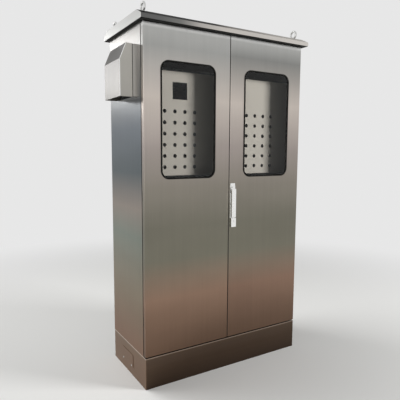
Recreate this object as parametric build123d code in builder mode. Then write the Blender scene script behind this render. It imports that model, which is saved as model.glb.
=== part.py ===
from build123d import *
import math
import os

# Outdoor two-door stainless control cabinet: plinth, body, glazed doors, rain roof and side vent hood.
# Frame: origin on the floor under the middle of the plinth, +Z up, the doors face -Y.

os.makedirs("parts", exist_ok=True)

# Overall form
cabinet_width = 1100.0
cabinet_depth = 470.0
plinth_height = 180.0
body_height = 1793.0
body_sheet = 2.0
door_depth = 25.0
door_sheet = 2.0
door_gap = 8.0
door_foot_gap = 7.0
door_head_gap = 3.0
seam_gap = 5.0
bend_radius = 3.0
running_gap = 0.05

# Proportions of screws, bolts and nuts, as shares of the thread's diameter
hex_half_flats = 0.85
hex_head_height = 0.64
nut_height = 0.8
pan_head_radius = 0.95
pan_head_height = 0.5
thread_past = 0.8

# Plinth
plinth_sheet = 2.5
plinth_top_flange = 70.0
plinth_foot_flange = 60.0
anchor_inset = 32.0
anchor_hole_diameter = 14.0
plinth_bolt_diameter = 10.0
plinth_bolt_inset = 22.0
bolt_clearance = 1.0
plinth_cover_length = 160.0
plinth_cover_height = 80.0
plinth_cover_centre_z = 86.0
plinth_cover_setback = 256.0
plinth_cover_side_lap = 21.0
cover_screw_diameter = 5.0
cover_screw_spacing = 122.0
cover_screw_rise = 12.0

# Body openings and frame
frame_side_margin = 62.0
frame_head_margin = 45.0
frame_foot_margin = 51.0
gutter_lip_height = 18.7
gutter_lip_sheet = 2.0
post_half_width = 48.0
post_channel_half_width = 25.0
post_channel_depth = 75.0
gland_opening_length = 320.0
gland_opening_width = 140.0
gland_plate_lap = 20.0
gland_plate_sheet = 3.0
gasket_sheet = 2.0
gland_screw_diameter = 6.0
gland_setback = 250.0

# Rain roof
roof_side_overhang = 25.0
roof_front_overhang = 34.0
roof_sheet = 2.0
roof_fascia = 22.0
roof_rise = 50.0
roof_bevel = 52.0
roof_flange = 62.0
roof_gasket_setback = 3.0
eye_ring_radius = 21.0
eye_wire_radius = 6.0
eye_collar_radius = 15.0
eye_collar_height = 6.0
eye_shank_diameter = 12.0
eye_side_inset = 24.0
eye_front_inset = 48.0
eye_rear_inset = 30.0
spacer_diameter = 22.0
lifting_nut_flats = 19.0
lifting_nut_height = 10.0
lifting_plate_side = 40.0
lifting_plate_sheet = 5.0

# Doors and windows
door_lip = 22.0
window_stile = 98.75
window_height = 628.0
window_corner = 50.0
window_centre_z = 1479.0
seal_face_width = 9.0
seal_web = 2.0
seal_front_proud = 3.0
seal_depth = 10.0
glass_proud = 1.0
glass_thickness = 5.0
door_gasket_width = 12.0
soft_gap = 0.3

# Hidden hinges
hinge_pivot_inset = 12.0
hinge_pivot_depth = 15.0
hinge_pin_diameter = 6.0
hinge_pin_head_diameter = 9.0
hinge_pin_head_height = 3.0
hinge_knuckle_diameter = 12.0
hinge_height = 44.0
hinge_ear = 10.0
hinge_axial_gap = 0.3
hinge_web_gap = 1.0
hinge_arm_sheet = 5.0
hinge_arm_reach = 23.0
hinge_foot_length = 22.0
hinge_foot_sheet = 4.0
hinge_screw_diameter = 6.0
hinge_end_margin = 200.0
hinge_notch_margin = 4.0

# Swing handle on the right-hand door
handle_from_centre = 22.5
handle_top_z = 1130.0
handle_length = 260.0
handle_width = 34.0
handle_base_sheet = 5.0
cast_edge_radius = 1.8
handle_proud = 20.0
handle_ramp_length = 38.0
handle_ramp_end = 5.0
spindle_drop = 38.0
spindle_diameter = 16.0
hub_radius = 17.2
hub_sheet = 3.7
handle_gap = 0.3
turned_lever_gap = 2.0
lever_width = 30.0
lever_pin_diameter = 4.0
lever_pin_rise = 2.5
lever_lug_radius = 4.5
lever_lug_width = 10.0
lever_lift_angle = 40.0
lever_head_reach = 6.0
lock_block_height = 55.0
lock_barrel_diameter = 14.0
lock_centre_rise = 36.0
lock_tongue_length = 20.0
lock_tongue_sheet = 3.0
lock_rim_proud = 0.8
key_slot_width = 2.4
key_slot_height = 8.0
finger_scoop_length = 72.0
finger_scoop_rise = 48.0
finger_scoop_reach = 4.0
finger_scoop_depth = 5.0

# Lock rods
cam_radius = 11.0
cam_sheet = 3.0
cam_pin_diameter = 6.0
cam_rim = 2.0
cam_depth = 8.0
yoke_sheet = 4.0
yoke_gap = 0.4
yoke_slot_play = 0.5
yoke_rim = 4.0
yoke_side_rim = 1.5
rod_diameter = 8.0
rod_offset = 10.5
rod_end_gap = 0.5
guide_width = 14.0
guide_height = 12.0
guide_rim = 2.0
guide_first_reach = 70.0
guide_end_reach = 34.0
bolt_guide_spacing = 80.0
keeper_sheet = 4.0
keeper_width = 14.0
keeper_drop = 37.0
keeper_foot = 24.0
keeper_nose = 8.0
keeper_play = 0.6
bolt_length = 150.0
bolt_knob_diameter = 7.0
bolt_knob_length = 14.0
bolt_from_centre = 12.0

# Instrument panels behind the windows
panel_sheet = 2.0
panel_width = 500.0
panel_height = 576.0
panel_top_z = 1757.0
panel_depth = 85.0
panel_from_centre = 286.0
panel_edge_fold = 15.0
lamp_hole_diameter = 22.4
lamp_columns = 4
lamp_rows = 6
lamp_pitch_x = 65.0
lamp_pitch_z = 62.0
lamp_centre_z = 1383.5
meter_cutout = 94.0
meter_centre_z = 1652.0
rail_flange = 22.0
panel_screw_diameter = 5.0
panel_screw_end_margin = 60.0

# Mounting plate
plate_sheet = 3.0
plate_width = 960.0
plate_height = 1560.0
plate_foot_z = 290.0
plate_standoff = 30.0
plate_bolt_diameter = 6.0
plate_bolt_inset = 30.0
standoff_diameter = 18.0

# Vent: fan inside the left wall, box frame and rain hood outside it
vent_width = 218.0
vent_height = 269.0
vent_foot_z = 1597.0
vent_front_setback = 52.0
vent_box_depth = 34.0
vent_sheet = 1.5
vent_joint_gap = 3.0
hood_projection = 108.0
hood_brow = 73.0
hood_slope_drop = 82.0
vent_corner = 6.0
fan_from_vent_centre = 18.0
fan_side = 120.0
fan_depth = 38.0
fan_corner = 6.0
fan_wall = 4.0
fan_tip_gap = 2.0
fan_hub_radius = 24.0
fan_hub_depth = 20.0
fan_blades = 5
fan_blade_sheet = 2.0
fan_blade_root_chord = 18.0
fan_blade_tip_chord = 26.0
fan_blade_root_angle = 58.0
fan_blade_tip_angle = 34.0
fan_motor_height = 8.0
fan_shaft_diameter = 6.0
fan_shaft_reach = 14.0
fan_strut_width = 8.0
guard_wire = 2.0
guard_rings = 5
filter_thickness = 12.0
grille_sheet = 1.5
grille_slot = 6.0
grille_pitch = 12.0

# Levels and planes worked out from the sizes above
half_width = cabinet_width / 2
front = -cabinet_depth / 2
rear = cabinet_depth / 2
body_foot = plinth_height
body_top = plinth_height + body_height
frame_face = front + door_depth + door_gap
door_foot = body_foot + door_foot_gap
door_top = body_top - door_head_gap
door_centre_z = (door_foot + door_top) / 2
door_height = door_top - door_foot
opening_half = half_width - frame_side_margin - gutter_lip_sheet
opening_foot = body_foot + frame_foot_margin + gutter_lip_sheet
opening_top = body_top - frame_head_margin - gutter_lip_sheet
roof_foot = body_top + gasket_sheet
pivot_x = half_width - hinge_pivot_inset
pivot_y = front + hinge_pivot_depth
hinge_levels = [door_foot + hinge_end_margin, door_centre_z, door_top - hinge_end_margin]
spindle_z = handle_top_z - spindle_drop
handle_foot_z = handle_top_z - handle_length
cam_travel = 2 * cam_radius * math.sin(math.radians(45))
rod_axis_y = front + cam_depth + cam_sheet + yoke_gap + yoke_sheet / 2
top_keeper_z = body_top - keeper_drop
foot_keeper_z = body_foot + keeper_drop
vent_centre_y = front + vent_front_setback + vent_width / 2
vent_centre_z = vent_foot_z + vent_height / 2
fan_centre_y = vent_centre_y + fan_from_vent_centre
duct_radius = fan_side / 2 - fan_wall


def front_plane(y):
    """Vertical plane facing the doors' side, sketch y up; a negative extrude goes back."""
    return Plane.XZ.offset(-y)


def side_plane(x):
    """Vertical plane facing +X: sketch x is Y and sketch y is Z."""
    return Plane.YZ.offset(x)


def save(piece, label):
    """Names a finished piece and writes it as its own file."""
    piece.label = label
    export_step(piece, f"parts/{label}.step")
    return piece


# Plinth: four folded walls with an inward flange at head and foot, welded at the corners
plinth_bolt_x = half_width - plinth_sheet - plinth_top_flange / 2
plinth_bolt_front = frame_face + body_sheet + plinth_bolt_inset
plinth_bolt_rear = rear - body_sheet - plinth_bolt_inset
plinth_bolt_y = (plinth_bolt_front + plinth_bolt_rear) / 2
plinth_bolt_spacing_y = plinth_bolt_rear - plinth_bolt_front
cover_centre_y = front + plinth_cover_setback
anchor_spacing_x = cabinet_width - 2 * anchor_inset
anchor_spacing_y = cabinet_depth - 2 * anchor_inset
with BuildPart() as plinth:
    with BuildSketch():
        Rectangle(cabinet_width, cabinet_depth)
    extrude(amount=plinth_height)
    fillet(plinth.edges().filter_by(Axis.Z), bend_radius)
    with BuildSketch(Plane.XY.offset(plinth_sheet)):
        Rectangle(cabinet_width - 2 * plinth_sheet, cabinet_depth - 2 * plinth_sheet)
    extrude(amount=plinth_height - 2 * plinth_sheet, mode=Mode.SUBTRACT)
    with BuildSketch():
        Rectangle(cabinet_width - 2 * plinth_foot_flange, cabinet_depth - 2 * plinth_foot_flange)
    extrude(amount=plinth_sheet, mode=Mode.SUBTRACT)
    with BuildSketch(Plane.XY.offset(plinth_height - plinth_sheet)):
        Rectangle(cabinet_width - 2 * plinth_sheet - 2 * plinth_top_flange,
                  cabinet_depth - 2 * plinth_sheet - 2 * plinth_top_flange)
    extrude(amount=plinth_sheet, mode=Mode.SUBTRACT)
    with BuildSketch():
        with GridLocations(anchor_spacing_x, anchor_spacing_y, 2, 2):
            Circle(anchor_hole_diameter / 2)
    extrude(amount=plinth_sheet, mode=Mode.SUBTRACT)
    with BuildSketch(Plane.XY.offset(plinth_height - plinth_sheet)):
        with Locations((0, plinth_bolt_y)):
            with GridLocations(plinth_bolt_x, plinth_bolt_spacing_y, 3, 2):
                Circle(plinth_bolt_diameter / 2 + bolt_clearance / 2)
    extrude(amount=plinth_sheet, mode=Mode.SUBTRACT)
    with BuildSketch(side_plane(-half_width)):
        with Locations((cover_centre_y, plinth_cover_centre_z)):
            RectangleRounded(plinth_cover_length - 2 * plinth_cover_side_lap,
                             plinth_cover_height - 2 * plinth_cover_side_lap, bend_radius * 2)
        with Locations((cover_centre_y, plinth_cover_centre_z - plinth_cover_height / 2 + cover_screw_rise)):
            with GridLocations(cover_screw_spacing, 1, 2, 1):
                Circle(cover_screw_diameter / 2)
    extrude(amount=plinth_sheet, mode=Mode.SUBTRACT)
save(plinth.part, "plinth")

# Cover plate over the cable slot in the plinth's left wall, held by two screws along its lower edge
cover_screw_z = plinth_cover_centre_z - plinth_cover_height / 2 + cover_screw_rise
with BuildPart() as plinth_side_cover:
    with BuildSketch(side_plane(-half_width - body_sheet)):
        with Locations((cover_centre_y, plinth_cover_centre_z)):
            RectangleRounded(plinth_cover_length, plinth_cover_height, bend_radius)
        with Locations((cover_centre_y, cover_screw_z)):
            with GridLocations(cover_screw_spacing, 1, 2, 1):
                Circle(cover_screw_diameter / 2, mode=Mode.SUBTRACT)
    extrude(amount=body_sheet)
save(plinth_side_cover.part, "plinth_side_cover")

with BuildPart() as plinth_cover_screws:
    with BuildSketch(side_plane(-half_width - body_sheet)):
        with Locations((cover_centre_y, cover_screw_z)):
            with GridLocations(cover_screw_spacing, 1, 2, 1):
                Circle(cover_screw_diameter / 2)
    extrude(amount=body_sheet + plinth_sheet + cover_screw_diameter)
    with BuildSketch(side_plane(-half_width - body_sheet)):
        with Locations((cover_centre_y, cover_screw_z)):
            with GridLocations(cover_screw_spacing, 1, 2, 1):
                Circle(cover_screw_diameter * pan_head_radius)
    extrude(amount=-cover_screw_diameter * pan_head_height)
    fillet(plinth_cover_screws.faces().sort_by(Axis.X)[0:2].edges(),
           cover_screw_diameter * pan_head_height / 2)
save(plinth_cover_screws.part, "plinth_cover_screws")

# Bolts from inside the plinth up into the floor panel
with BuildPart() as plinth_bolts:
    with BuildSketch(Plane.XY.offset(plinth_height - plinth_sheet)):
        with Locations((0, plinth_bolt_y)):
            with GridLocations(plinth_bolt_x, plinth_bolt_spacing_y, 3, 2):
                RegularPolygon(plinth_bolt_diameter * hex_half_flats, 6, major_radius=False)
    extrude(amount=-plinth_bolt_diameter * hex_head_height)
    with BuildSketch(Plane.XY.offset(plinth_height - plinth_sheet)):
        with Locations((0, plinth_bolt_y)):
            with GridLocations(plinth_bolt_x, plinth_bolt_spacing_y, 3, 2):
                Circle(plinth_bolt_diameter / 2)
    extrude(amount=plinth_sheet + body_sheet
            + plinth_bolt_diameter * (nut_height + hex_head_height) * thread_past)
    with BuildSketch(Plane.XY.offset(plinth_height + body_sheet)):
        with Locations((0, plinth_bolt_y)):
            with GridLocations(plinth_bolt_x, plinth_bolt_spacing_y, 3, 2):
                RegularPolygon(plinth_bolt_diameter * hex_half_flats, 6, major_radius=False)
    extrude(amount=plinth_bolt_diameter * nut_height)
save(plinth_bolts.part, "plinth_bolts")

# Floor panel with the cable opening
inner_half = half_width - body_sheet
floor_centre_y = (frame_face + rear - body_sheet) / 2
floor_length_y = rear - body_sheet - frame_face
gland_centre_y = front + gland_setback
gland_screw_x = gland_opening_length + gland_plate_lap
gland_screw_y = gland_opening_width + gland_plate_lap
with BuildPart() as floor_panel:
    with BuildSketch(Plane.XY.offset(body_foot)):
        with Locations((0, floor_centre_y)):
            Rectangle(2 * inner_half, floor_length_y)
        with Locations((0, gland_centre_y)):
            RectangleRounded(gland_opening_length, gland_opening_width, bend_radius * 2, mode=Mode.SUBTRACT)
            with GridLocations(gland_screw_x / 2, gland_screw_y, 3, 2):
                Circle(gland_screw_diameter / 2, mode=Mode.SUBTRACT)
        with Locations((0, plinth_bolt_y)):
            with GridLocations(plinth_bolt_x, plinth_bolt_spacing_y, 3, 2):
                Circle(plinth_bolt_diameter / 2 + bolt_clearance / 2, mode=Mode.SUBTRACT)
    extrude(amount=body_sheet)
save(floor_panel.part, "floor_panel")

with BuildPart() as gland_gasket:
    with BuildSketch(Plane.XY.offset(body_foot + body_sheet)):
        with Locations((0, gland_centre_y)):
            Rectangle(gland_opening_length + 2 * gland_plate_lap, gland_opening_width + 2 * gland_plate_lap)
            RectangleRounded(gland_opening_length, gland_opening_width, bend_radius * 2, mode=Mode.SUBTRACT)
            with GridLocations(gland_screw_x / 2, gland_screw_y, 3, 2):
                Circle(gland_screw_diameter / 2, mode=Mode.SUBTRACT)
    extrude(amount=gasket_sheet)
save(gland_gasket.part, "gland_gasket")

# Gland plate, drawn down on the gasket by countersunk screws that leave its face flat
gland_plate_top = body_foot + body_sheet + gasket_sheet + gland_plate_sheet
with BuildPart() as gland_plate:
    with BuildSketch(Plane.XY.offset(gland_plate_top)):
        with Locations((0, gland_centre_y)):
            Rectangle(gland_opening_length + 2 * gland_plate_lap, gland_opening_width + 2 * gland_plate_lap)
    extrude(amount=-gland_plate_sheet)
    with Locations((0, gland_centre_y, gland_plate_top)):
        with GridLocations(gland_screw_x / 2, gland_screw_y, 3, 2):
            Cone(gland_screw_diameter / 2, gland_screw_diameter / 2 + gland_plate_sheet, gland_plate_sheet,
                 align=(Align.CENTER, Align.CENTER, Align.MAX), mode=Mode.SUBTRACT)
save(gland_plate.part, "gland_plate")

with BuildPart() as gland_screws:
    with Locations((0, gland_centre_y, gland_plate_top)):
        with GridLocations(gland_screw_x / 2, gland_screw_y, 3, 2):
            Cone(gland_screw_diameter / 2, gland_screw_diameter / 2 + gland_plate_sheet, gland_plate_sheet,
                 align=(Align.CENTER, Align.CENTER, Align.MAX))
    with BuildSketch(Plane.XY.offset(gland_plate_top - gland_plate_sheet)):
        with Locations((0, gland_centre_y)):
            with GridLocations(gland_screw_x / 2, gland_screw_y, 3, 2):
                Circle(gland_screw_diameter / 2)
    extrude(amount=-gasket_sheet - body_sheet - gland_screw_diameter * thread_past)
save(gland_screws.part, "gland_screws")


def side_panel(side, label, vented):
    """Flat side wall from floor to roof; the left one is bored for the fan's air."""
    wall_x = side * half_width
    inward = -side * body_sheet
    with BuildPart() as panel:
        with BuildSketch(side_plane(wall_x)):
            with Locations(((frame_face + rear) / 2, (body_foot + body_top) / 2)):
                Rectangle(rear - frame_face, body_height)
            if vented:
                with Locations((fan_centre_y, vent_centre_z)):
                    Circle(duct_radius, mode=Mode.SUBTRACT)
        extrude(amount=inward)
    return save(panel.part, label)


side_panel(-1, "left_side_panel", True)
side_panel(1, "right_side_panel", False)

# Rear panel between the side walls, with six threaded standoffs welded on for the mounting plate
plate_centre_z = plate_foot_z + plate_height / 2
plate_bolt_spacing_x = plate_width - 2 * plate_bolt_inset
plate_bolt_spacing_z = plate_height / 2 - plate_bolt_inset
with BuildPart() as rear_sheet:
    with BuildSketch(front_plane(rear - body_sheet)):
        with Locations((0, (body_foot + body_top) / 2)):
            Rectangle(2 * inner_half, body_height)
    extrude(amount=-body_sheet)
with BuildPart() as standoffs:
    with BuildSketch(front_plane(rear - body_sheet)):
        with Locations((0, plate_centre_z)):
            with GridLocations(plate_bolt_spacing_x, plate_bolt_spacing_z, 2, 3):
                Circle(standoff_diameter / 2)
                Circle(plate_bolt_diameter / 2, mode=Mode.SUBTRACT)
    extrude(amount=plate_standoff)
save(Compound([rear_sheet.part, standoffs.part]), "rear_panel")

# Top panel, drilled for the lifting eyes
eye_x = half_width - eye_side_inset
eye_front_y = front + eye_front_inset
eye_rear_y = rear - eye_rear_inset
eye_centre_y = (eye_front_y + eye_rear_y) / 2
eye_spacing_y = eye_rear_y - eye_front_y
top_centre_y = (frame_face + body_sheet + rear - body_sheet) / 2
top_length_y = rear - frame_face - 2 * body_sheet
with BuildPart() as top_panel:
    with BuildSketch(Plane.XY.offset(body_top - body_sheet)):
        with Locations((0, top_centre_y)):
            Rectangle(2 * inner_half, top_length_y)
        with Locations((0, eye_centre_y)):
            with GridLocations(2 * eye_x, eye_spacing_y, 2, 2):
                Circle(eye_shank_diameter / 2 + bolt_clearance / 2, mode=Mode.SUBTRACT)
    extrude(amount=body_sheet)
save(top_panel.part, "top_panel")

# Front frame: flat sheet ring, with the gutter lips of both door openings as strips spot welded to it
lip_depth_y = frame_face - gutter_lip_height / 2
lip_centre_z = (opening_foot + opening_top) / 2
with BuildPart() as front_ring:
    with BuildSketch(front_plane(frame_face)):
        with Locations((0, (body_foot + body_sheet + body_top) / 2)):
            Rectangle(2 * inner_half, body_height - body_sheet)
        with Locations((0, lip_centre_z)):
            Rectangle(2 * opening_half, opening_top - opening_foot, mode=Mode.SUBTRACT)
    extrude(amount=-body_sheet)
with BuildPart() as gutter_sides:
    with Locations((0, lip_depth_y, lip_centre_z)):
        with GridLocations(2 * opening_half + gutter_lip_sheet, 1, 2, 1):
            Box(gutter_lip_sheet, gutter_lip_height, opening_top - opening_foot + 2 * gutter_lip_sheet)
gutter_run = opening_half - post_half_width
with BuildPart() as gutter_rails:
    for level in (opening_foot - gutter_lip_sheet / 2, opening_top + gutter_lip_sheet / 2):
        with Locations((0, lip_depth_y, level)):
            with GridLocations(2 * post_half_width + gutter_run, 1, 2, 1):
                Box(gutter_run, gutter_lip_height, gutter_lip_sheet)
save(Compound([front_ring.part, gutter_sides.part, gutter_rails.part]), "front_frame")

# Centre post: folded hat with a gutter lip along both edges
with BuildPart() as centre_post:
    with BuildSketch(Plane.XY.offset(opening_foot)):
        with BuildLine():
            Polyline(
                (-post_half_width, frame_face - gutter_lip_height),
                (-post_half_width, frame_face + body_sheet),
                (-post_channel_half_width, frame_face + body_sheet),
                (-post_channel_half_width, frame_face + post_channel_depth),
                (-post_channel_half_width + body_sheet, frame_face + post_channel_depth),
                (-post_channel_half_width + body_sheet, frame_face + body_sheet),
                (0, frame_face + body_sheet),
                (0, frame_face),
                (-post_half_width + gutter_lip_sheet, frame_face),
                (-post_half_width + gutter_lip_sheet, frame_face - gutter_lip_height),
                close=True,
            )
        make_face()
        mirror(about=Plane.YZ)
    extrude(amount=opening_top - opening_foot)
save(centre_post.part, "centre_post")

# Black rubber strip under the roof's rim
roof_length_x = cabinet_width + 2 * roof_side_overhang
roof_length_y = cabinet_depth + 2 * roof_front_overhang
with BuildPart() as roof_gasket:
    with BuildSketch(Plane.XY.offset(body_top)):
        Rectangle(roof_length_x - 2 * roof_gasket_setback, roof_length_y - 2 * roof_gasket_setback)
        Rectangle(cabinet_width - 2 * roof_flange, cabinet_depth - 2 * roof_flange, mode=Mode.SUBTRACT)
        with Locations((0, eye_centre_y)):
            with GridLocations(2 * eye_x, eye_spacing_y, 2, 2):
                Circle(eye_shank_diameter / 2 + bolt_clearance / 2, mode=Mode.SUBTRACT)
    extrude(amount=gasket_sheet)
save(roof_gasket.part, "roof_gasket")


def roof_outline(inset):
    """Corners of the roof's end profile in Y and Z, set in by the sheet for the hollow."""
    half_y = roof_length_y / 2 - inset
    foot = roof_foot + inset
    shoulder = roof_foot + roof_fascia - inset * math.tan(math.atan2(roof_rise - roof_fascia, roof_bevel) / 2)
    top = roof_foot + roof_rise - inset
    flat_y = half_y - (top - shoulder) * roof_bevel / (roof_rise - roof_fascia)
    return [(-half_y, foot), (-half_y, shoulder), (-flat_y, top),
            (flat_y, top), (half_y, shoulder), (half_y, foot)]


# Rain roof: folded tray, bevelled front and rear, its foot turned in as a seat on the gasket
with BuildPart() as roof_canopy:
    with BuildSketch(side_plane(-roof_length_x / 2)):
        with BuildLine():
            Polyline(*roof_outline(0), close=True)
        make_face()
    extrude(amount=roof_length_x)
    with BuildSketch(side_plane(-roof_length_x / 2 + roof_sheet)):
        with BuildLine():
            Polyline(*roof_outline(roof_sheet), close=True)
        make_face()
    extrude(amount=roof_length_x - 2 * roof_sheet, mode=Mode.SUBTRACT)
    with BuildSketch(Plane.XY.offset(roof_foot)):
        Rectangle(cabinet_width - 2 * roof_flange, cabinet_depth - 2 * roof_flange)
    extrude(amount=roof_sheet, mode=Mode.SUBTRACT)
    with BuildSketch(Plane.XY.offset(roof_foot)):
        with Locations((0, eye_centre_y)):
            with GridLocations(2 * eye_x, eye_spacing_y, 2, 2):
                Circle(eye_shank_diameter / 2 + bolt_clearance / 2)
    extrude(amount=roof_rise, mode=Mode.SUBTRACT)
save(roof_canopy.part, "roof_canopy")

# Spacer tubes that carry the lifting eyes' pull through the hollow roof
with BuildPart() as roof_spacers:
    with BuildSketch(Plane.XY.offset(roof_foot + roof_sheet)):
        with Locations((0, eye_centre_y)):
            with GridLocations(2 * eye_x, eye_spacing_y, 2, 2):
                Circle(spacer_diameter / 2)
                Circle(eye_shank_diameter / 2 + bolt_clearance / 2, mode=Mode.SUBTRACT)
    extrude(amount=roof_rise - 2 * roof_sheet)
save(roof_spacers.part, "roof_spacers")

# Lifting eye bolts: ring, collar and shank forged in one
roof_top = roof_foot + roof_rise
shank_foot = body_top - body_sheet - lifting_plate_sheet - lifting_nut_height - eye_wire_radius / 2
eye_ring_z = roof_top + eye_collar_height + eye_ring_radius + eye_wire_radius / 2
with BuildPart() as lifting_eye_bolts:
    with Locations((0, eye_centre_y, 0)):
        with GridLocations(2 * eye_x, eye_spacing_y, 2, 2):
            with Locations((0, 0, eye_ring_z)):
                Torus(eye_ring_radius, eye_wire_radius, rotation=(0, 90, 0))
            with Locations((0, 0, roof_top)):
                Cylinder(eye_collar_radius, eye_collar_height, align=(Align.CENTER, Align.CENTER, Align.MIN))
            with Locations((0, 0, shank_foot)):
                Cylinder(eye_shank_diameter / 2, roof_top - shank_foot,
                         align=(Align.CENTER, Align.CENTER, Align.MIN))
save(lifting_eye_bolts.part, "lifting_eye_bolts")

# Square washer plates and nuts under the top panel
with BuildPart() as lifting_plates:
    with BuildSketch(Plane.XY.offset(body_top - body_sheet)):
        with Locations((0, eye_centre_y)):
            with GridLocations(2 * (inner_half - lifting_plate_side / 2), eye_spacing_y, 2, 2):
                Rectangle(lifting_plate_side, spacer_diameter)
        with Locations((0, eye_centre_y)):
            with GridLocations(2 * eye_x, eye_spacing_y, 2, 2):
                Circle(eye_shank_diameter / 2 + bolt_clearance / 2, mode=Mode.SUBTRACT)
    extrude(amount=-lifting_plate_sheet)
save(lifting_plates.part, "lifting_plates")

with BuildPart() as lifting_nuts:
    with BuildSketch(Plane.XY.offset(body_top - body_sheet - lifting_plate_sheet)):
        with Locations((0, eye_centre_y)):
            with GridLocations(2 * eye_x, eye_spacing_y, 2, 2):
                RegularPolygon(lifting_nut_flats / 2, 6, major_radius=False)
                Circle(eye_shank_diameter / 2, mode=Mode.SUBTRACT)
    extrude(amount=-lifting_nut_height)
save(lifting_nuts.part, "lifting_nuts")


# Doors: one folded pan each, with a turned-in lip, a window, notches for the hinges and the rod keepers
door_inner = seam_gap / 2
door_width = half_width - door_inner
door_middle = (half_width + door_inner) / 2
window_width = door_width - 2 * window_stile
cutout_inset = (seal_face_width - seal_web) / 2
lock_z = handle_foot_z + lock_centre_rise
hinge_notch_half = hinge_height / 2 + hinge_notch_margin
keeper_notch = keeper_sheet + 2 * hinge_notch_margin
notch_reach = handle_from_centre + rod_offset + keeper_width / 2 + keeper_play


def door_pan(side, label):
    """Folded door pan; side is -1 for the left door and 1 for the right one."""
    with BuildPart() as pan:
        with BuildSketch(front_plane(front)):
            with Locations((side * door_middle, door_centre_z)):
                Rectangle(door_width, door_height)
        extrude(amount=-door_depth)
        fillet(pan.edges().filter_by(Axis.Z).sort_by(Axis.Y)[0:2], bend_radius)
        with BuildSketch(front_plane(front + door_sheet)):
            with Locations((side * door_middle, door_centre_z)):
                Rectangle(door_width - 2 * door_sheet, door_height - 2 * door_sheet)
        extrude(amount=-(door_depth - 2 * door_sheet), mode=Mode.SUBTRACT)
        with BuildSketch(front_plane(front + door_depth - door_sheet)):
            with Locations((side * door_middle, door_centre_z)):
                Rectangle(door_width - 2 * door_sheet - 2 * door_lip,
                          door_height - 2 * door_sheet - 2 * door_lip)
            for level in hinge_levels:
                with Locations((side * (half_width - door_sheet - hinge_knuckle_diameter), level)):
                    Rectangle(2 * hinge_knuckle_diameter + 2 * hinge_notch_margin, 2 * hinge_notch_half)
            for level in (top_keeper_z + keeper_sheet / 2, foot_keeper_z - keeper_sheet / 2):
                with Locations((side * (door_inner + door_sheet + notch_reach) / 2, level)):
                    Rectangle(notch_reach - door_inner - door_sheet, keeper_notch)
        extrude(amount=-door_sheet, mode=Mode.SUBTRACT)
        with BuildSketch(front_plane(front)):
            with Locations((side * door_middle, window_centre_z)):
                RectangleRounded(window_width - 2 * cutout_inset, window_height - 2 * cutout_inset,
                                 window_corner - cutout_inset)
            if side > 0:
                with Locations((handle_from_centre, spindle_z)):
                    Circle(spindle_diameter / 2 + bolt_clearance)
                with Locations((handle_from_centre, lock_z)):
                    Circle(lock_barrel_diameter / 2 + bolt_clearance)
        extrude(amount=-door_sheet, mode=Mode.SUBTRACT)
    return save(pan.part, label)


def window_seal(side, label):
    """Rubber ring that grips the door sheet on its outer edge and the glass on its inner edge."""
    seal_front = front - seal_front_proud
    with BuildPart() as seal:
        with BuildSketch(front_plane(seal_front)):
            with Locations((side * door_middle, window_centre_z)):
                RectangleRounded(window_width, window_height, window_corner)
                RectangleRounded(window_width - 2 * seal_face_width, window_height - 2 * seal_face_width,
                                 window_corner - seal_face_width, mode=Mode.SUBTRACT)
        extrude(amount=-seal_depth)
        with BuildSketch(front_plane(front)):
            with Locations((side * door_middle, window_centre_z)):
                RectangleRounded(window_width, window_height, window_corner)
                RectangleRounded(window_width - 2 * cutout_inset, window_height - 2 * cutout_inset,
                                 window_corner - cutout_inset, mode=Mode.SUBTRACT)
        extrude(amount=-door_sheet, mode=Mode.SUBTRACT)
        with BuildSketch(front_plane(front - glass_proud)):
            with Locations((side * door_middle, window_centre_z)):
                RectangleRounded(window_width - 2 * cutout_inset - 2 * seal_web,
                                 window_height - 2 * cutout_inset - 2 * seal_web,
                                 window_corner - cutout_inset - seal_web)
        extrude(amount=-glass_thickness, mode=Mode.SUBTRACT)
    return save(seal.part, label)


def window_glass(side, label):
    """Flat pane held in the seal's inner groove."""
    with BuildPart() as pane:
        with BuildSketch(front_plane(front - glass_proud)):
            with Locations((side * door_middle, window_centre_z)):
                RectangleRounded(window_width - 2 * cutout_inset - 2 * seal_web,
                                 window_height - 2 * cutout_inset - 2 * seal_web,
                                 window_corner - cutout_inset - seal_web)
        extrude(amount=-glass_thickness)
    return save(pane.part, label)


gasket_top = opening_top + gutter_lip_sheet / 2
gasket_foot = opening_foot - gutter_lip_sheet / 2
gasket_outer = opening_half + gutter_lip_sheet / 2
gasket_inner = post_half_width - gutter_lip_sheet / 2


def door_gasket(side, label):
    """Foam ring on the door's back that closes on the gutter lips of one bay."""
    width = gasket_outer - gasket_inner
    height = gasket_top - gasket_foot
    depth = frame_face - gutter_lip_height - soft_gap - front - door_sheet
    with BuildPart() as gasket:
        with BuildSketch(front_plane(front + door_sheet)):
            with Locations((side * (gasket_outer + gasket_inner) / 2, (gasket_top + gasket_foot) / 2)):
                Rectangle(width + door_gasket_width, height + door_gasket_width)
                Rectangle(width - door_gasket_width, height - door_gasket_width, mode=Mode.SUBTRACT)
        extrude(amount=-depth)
    return save(gasket.part, label)


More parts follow.
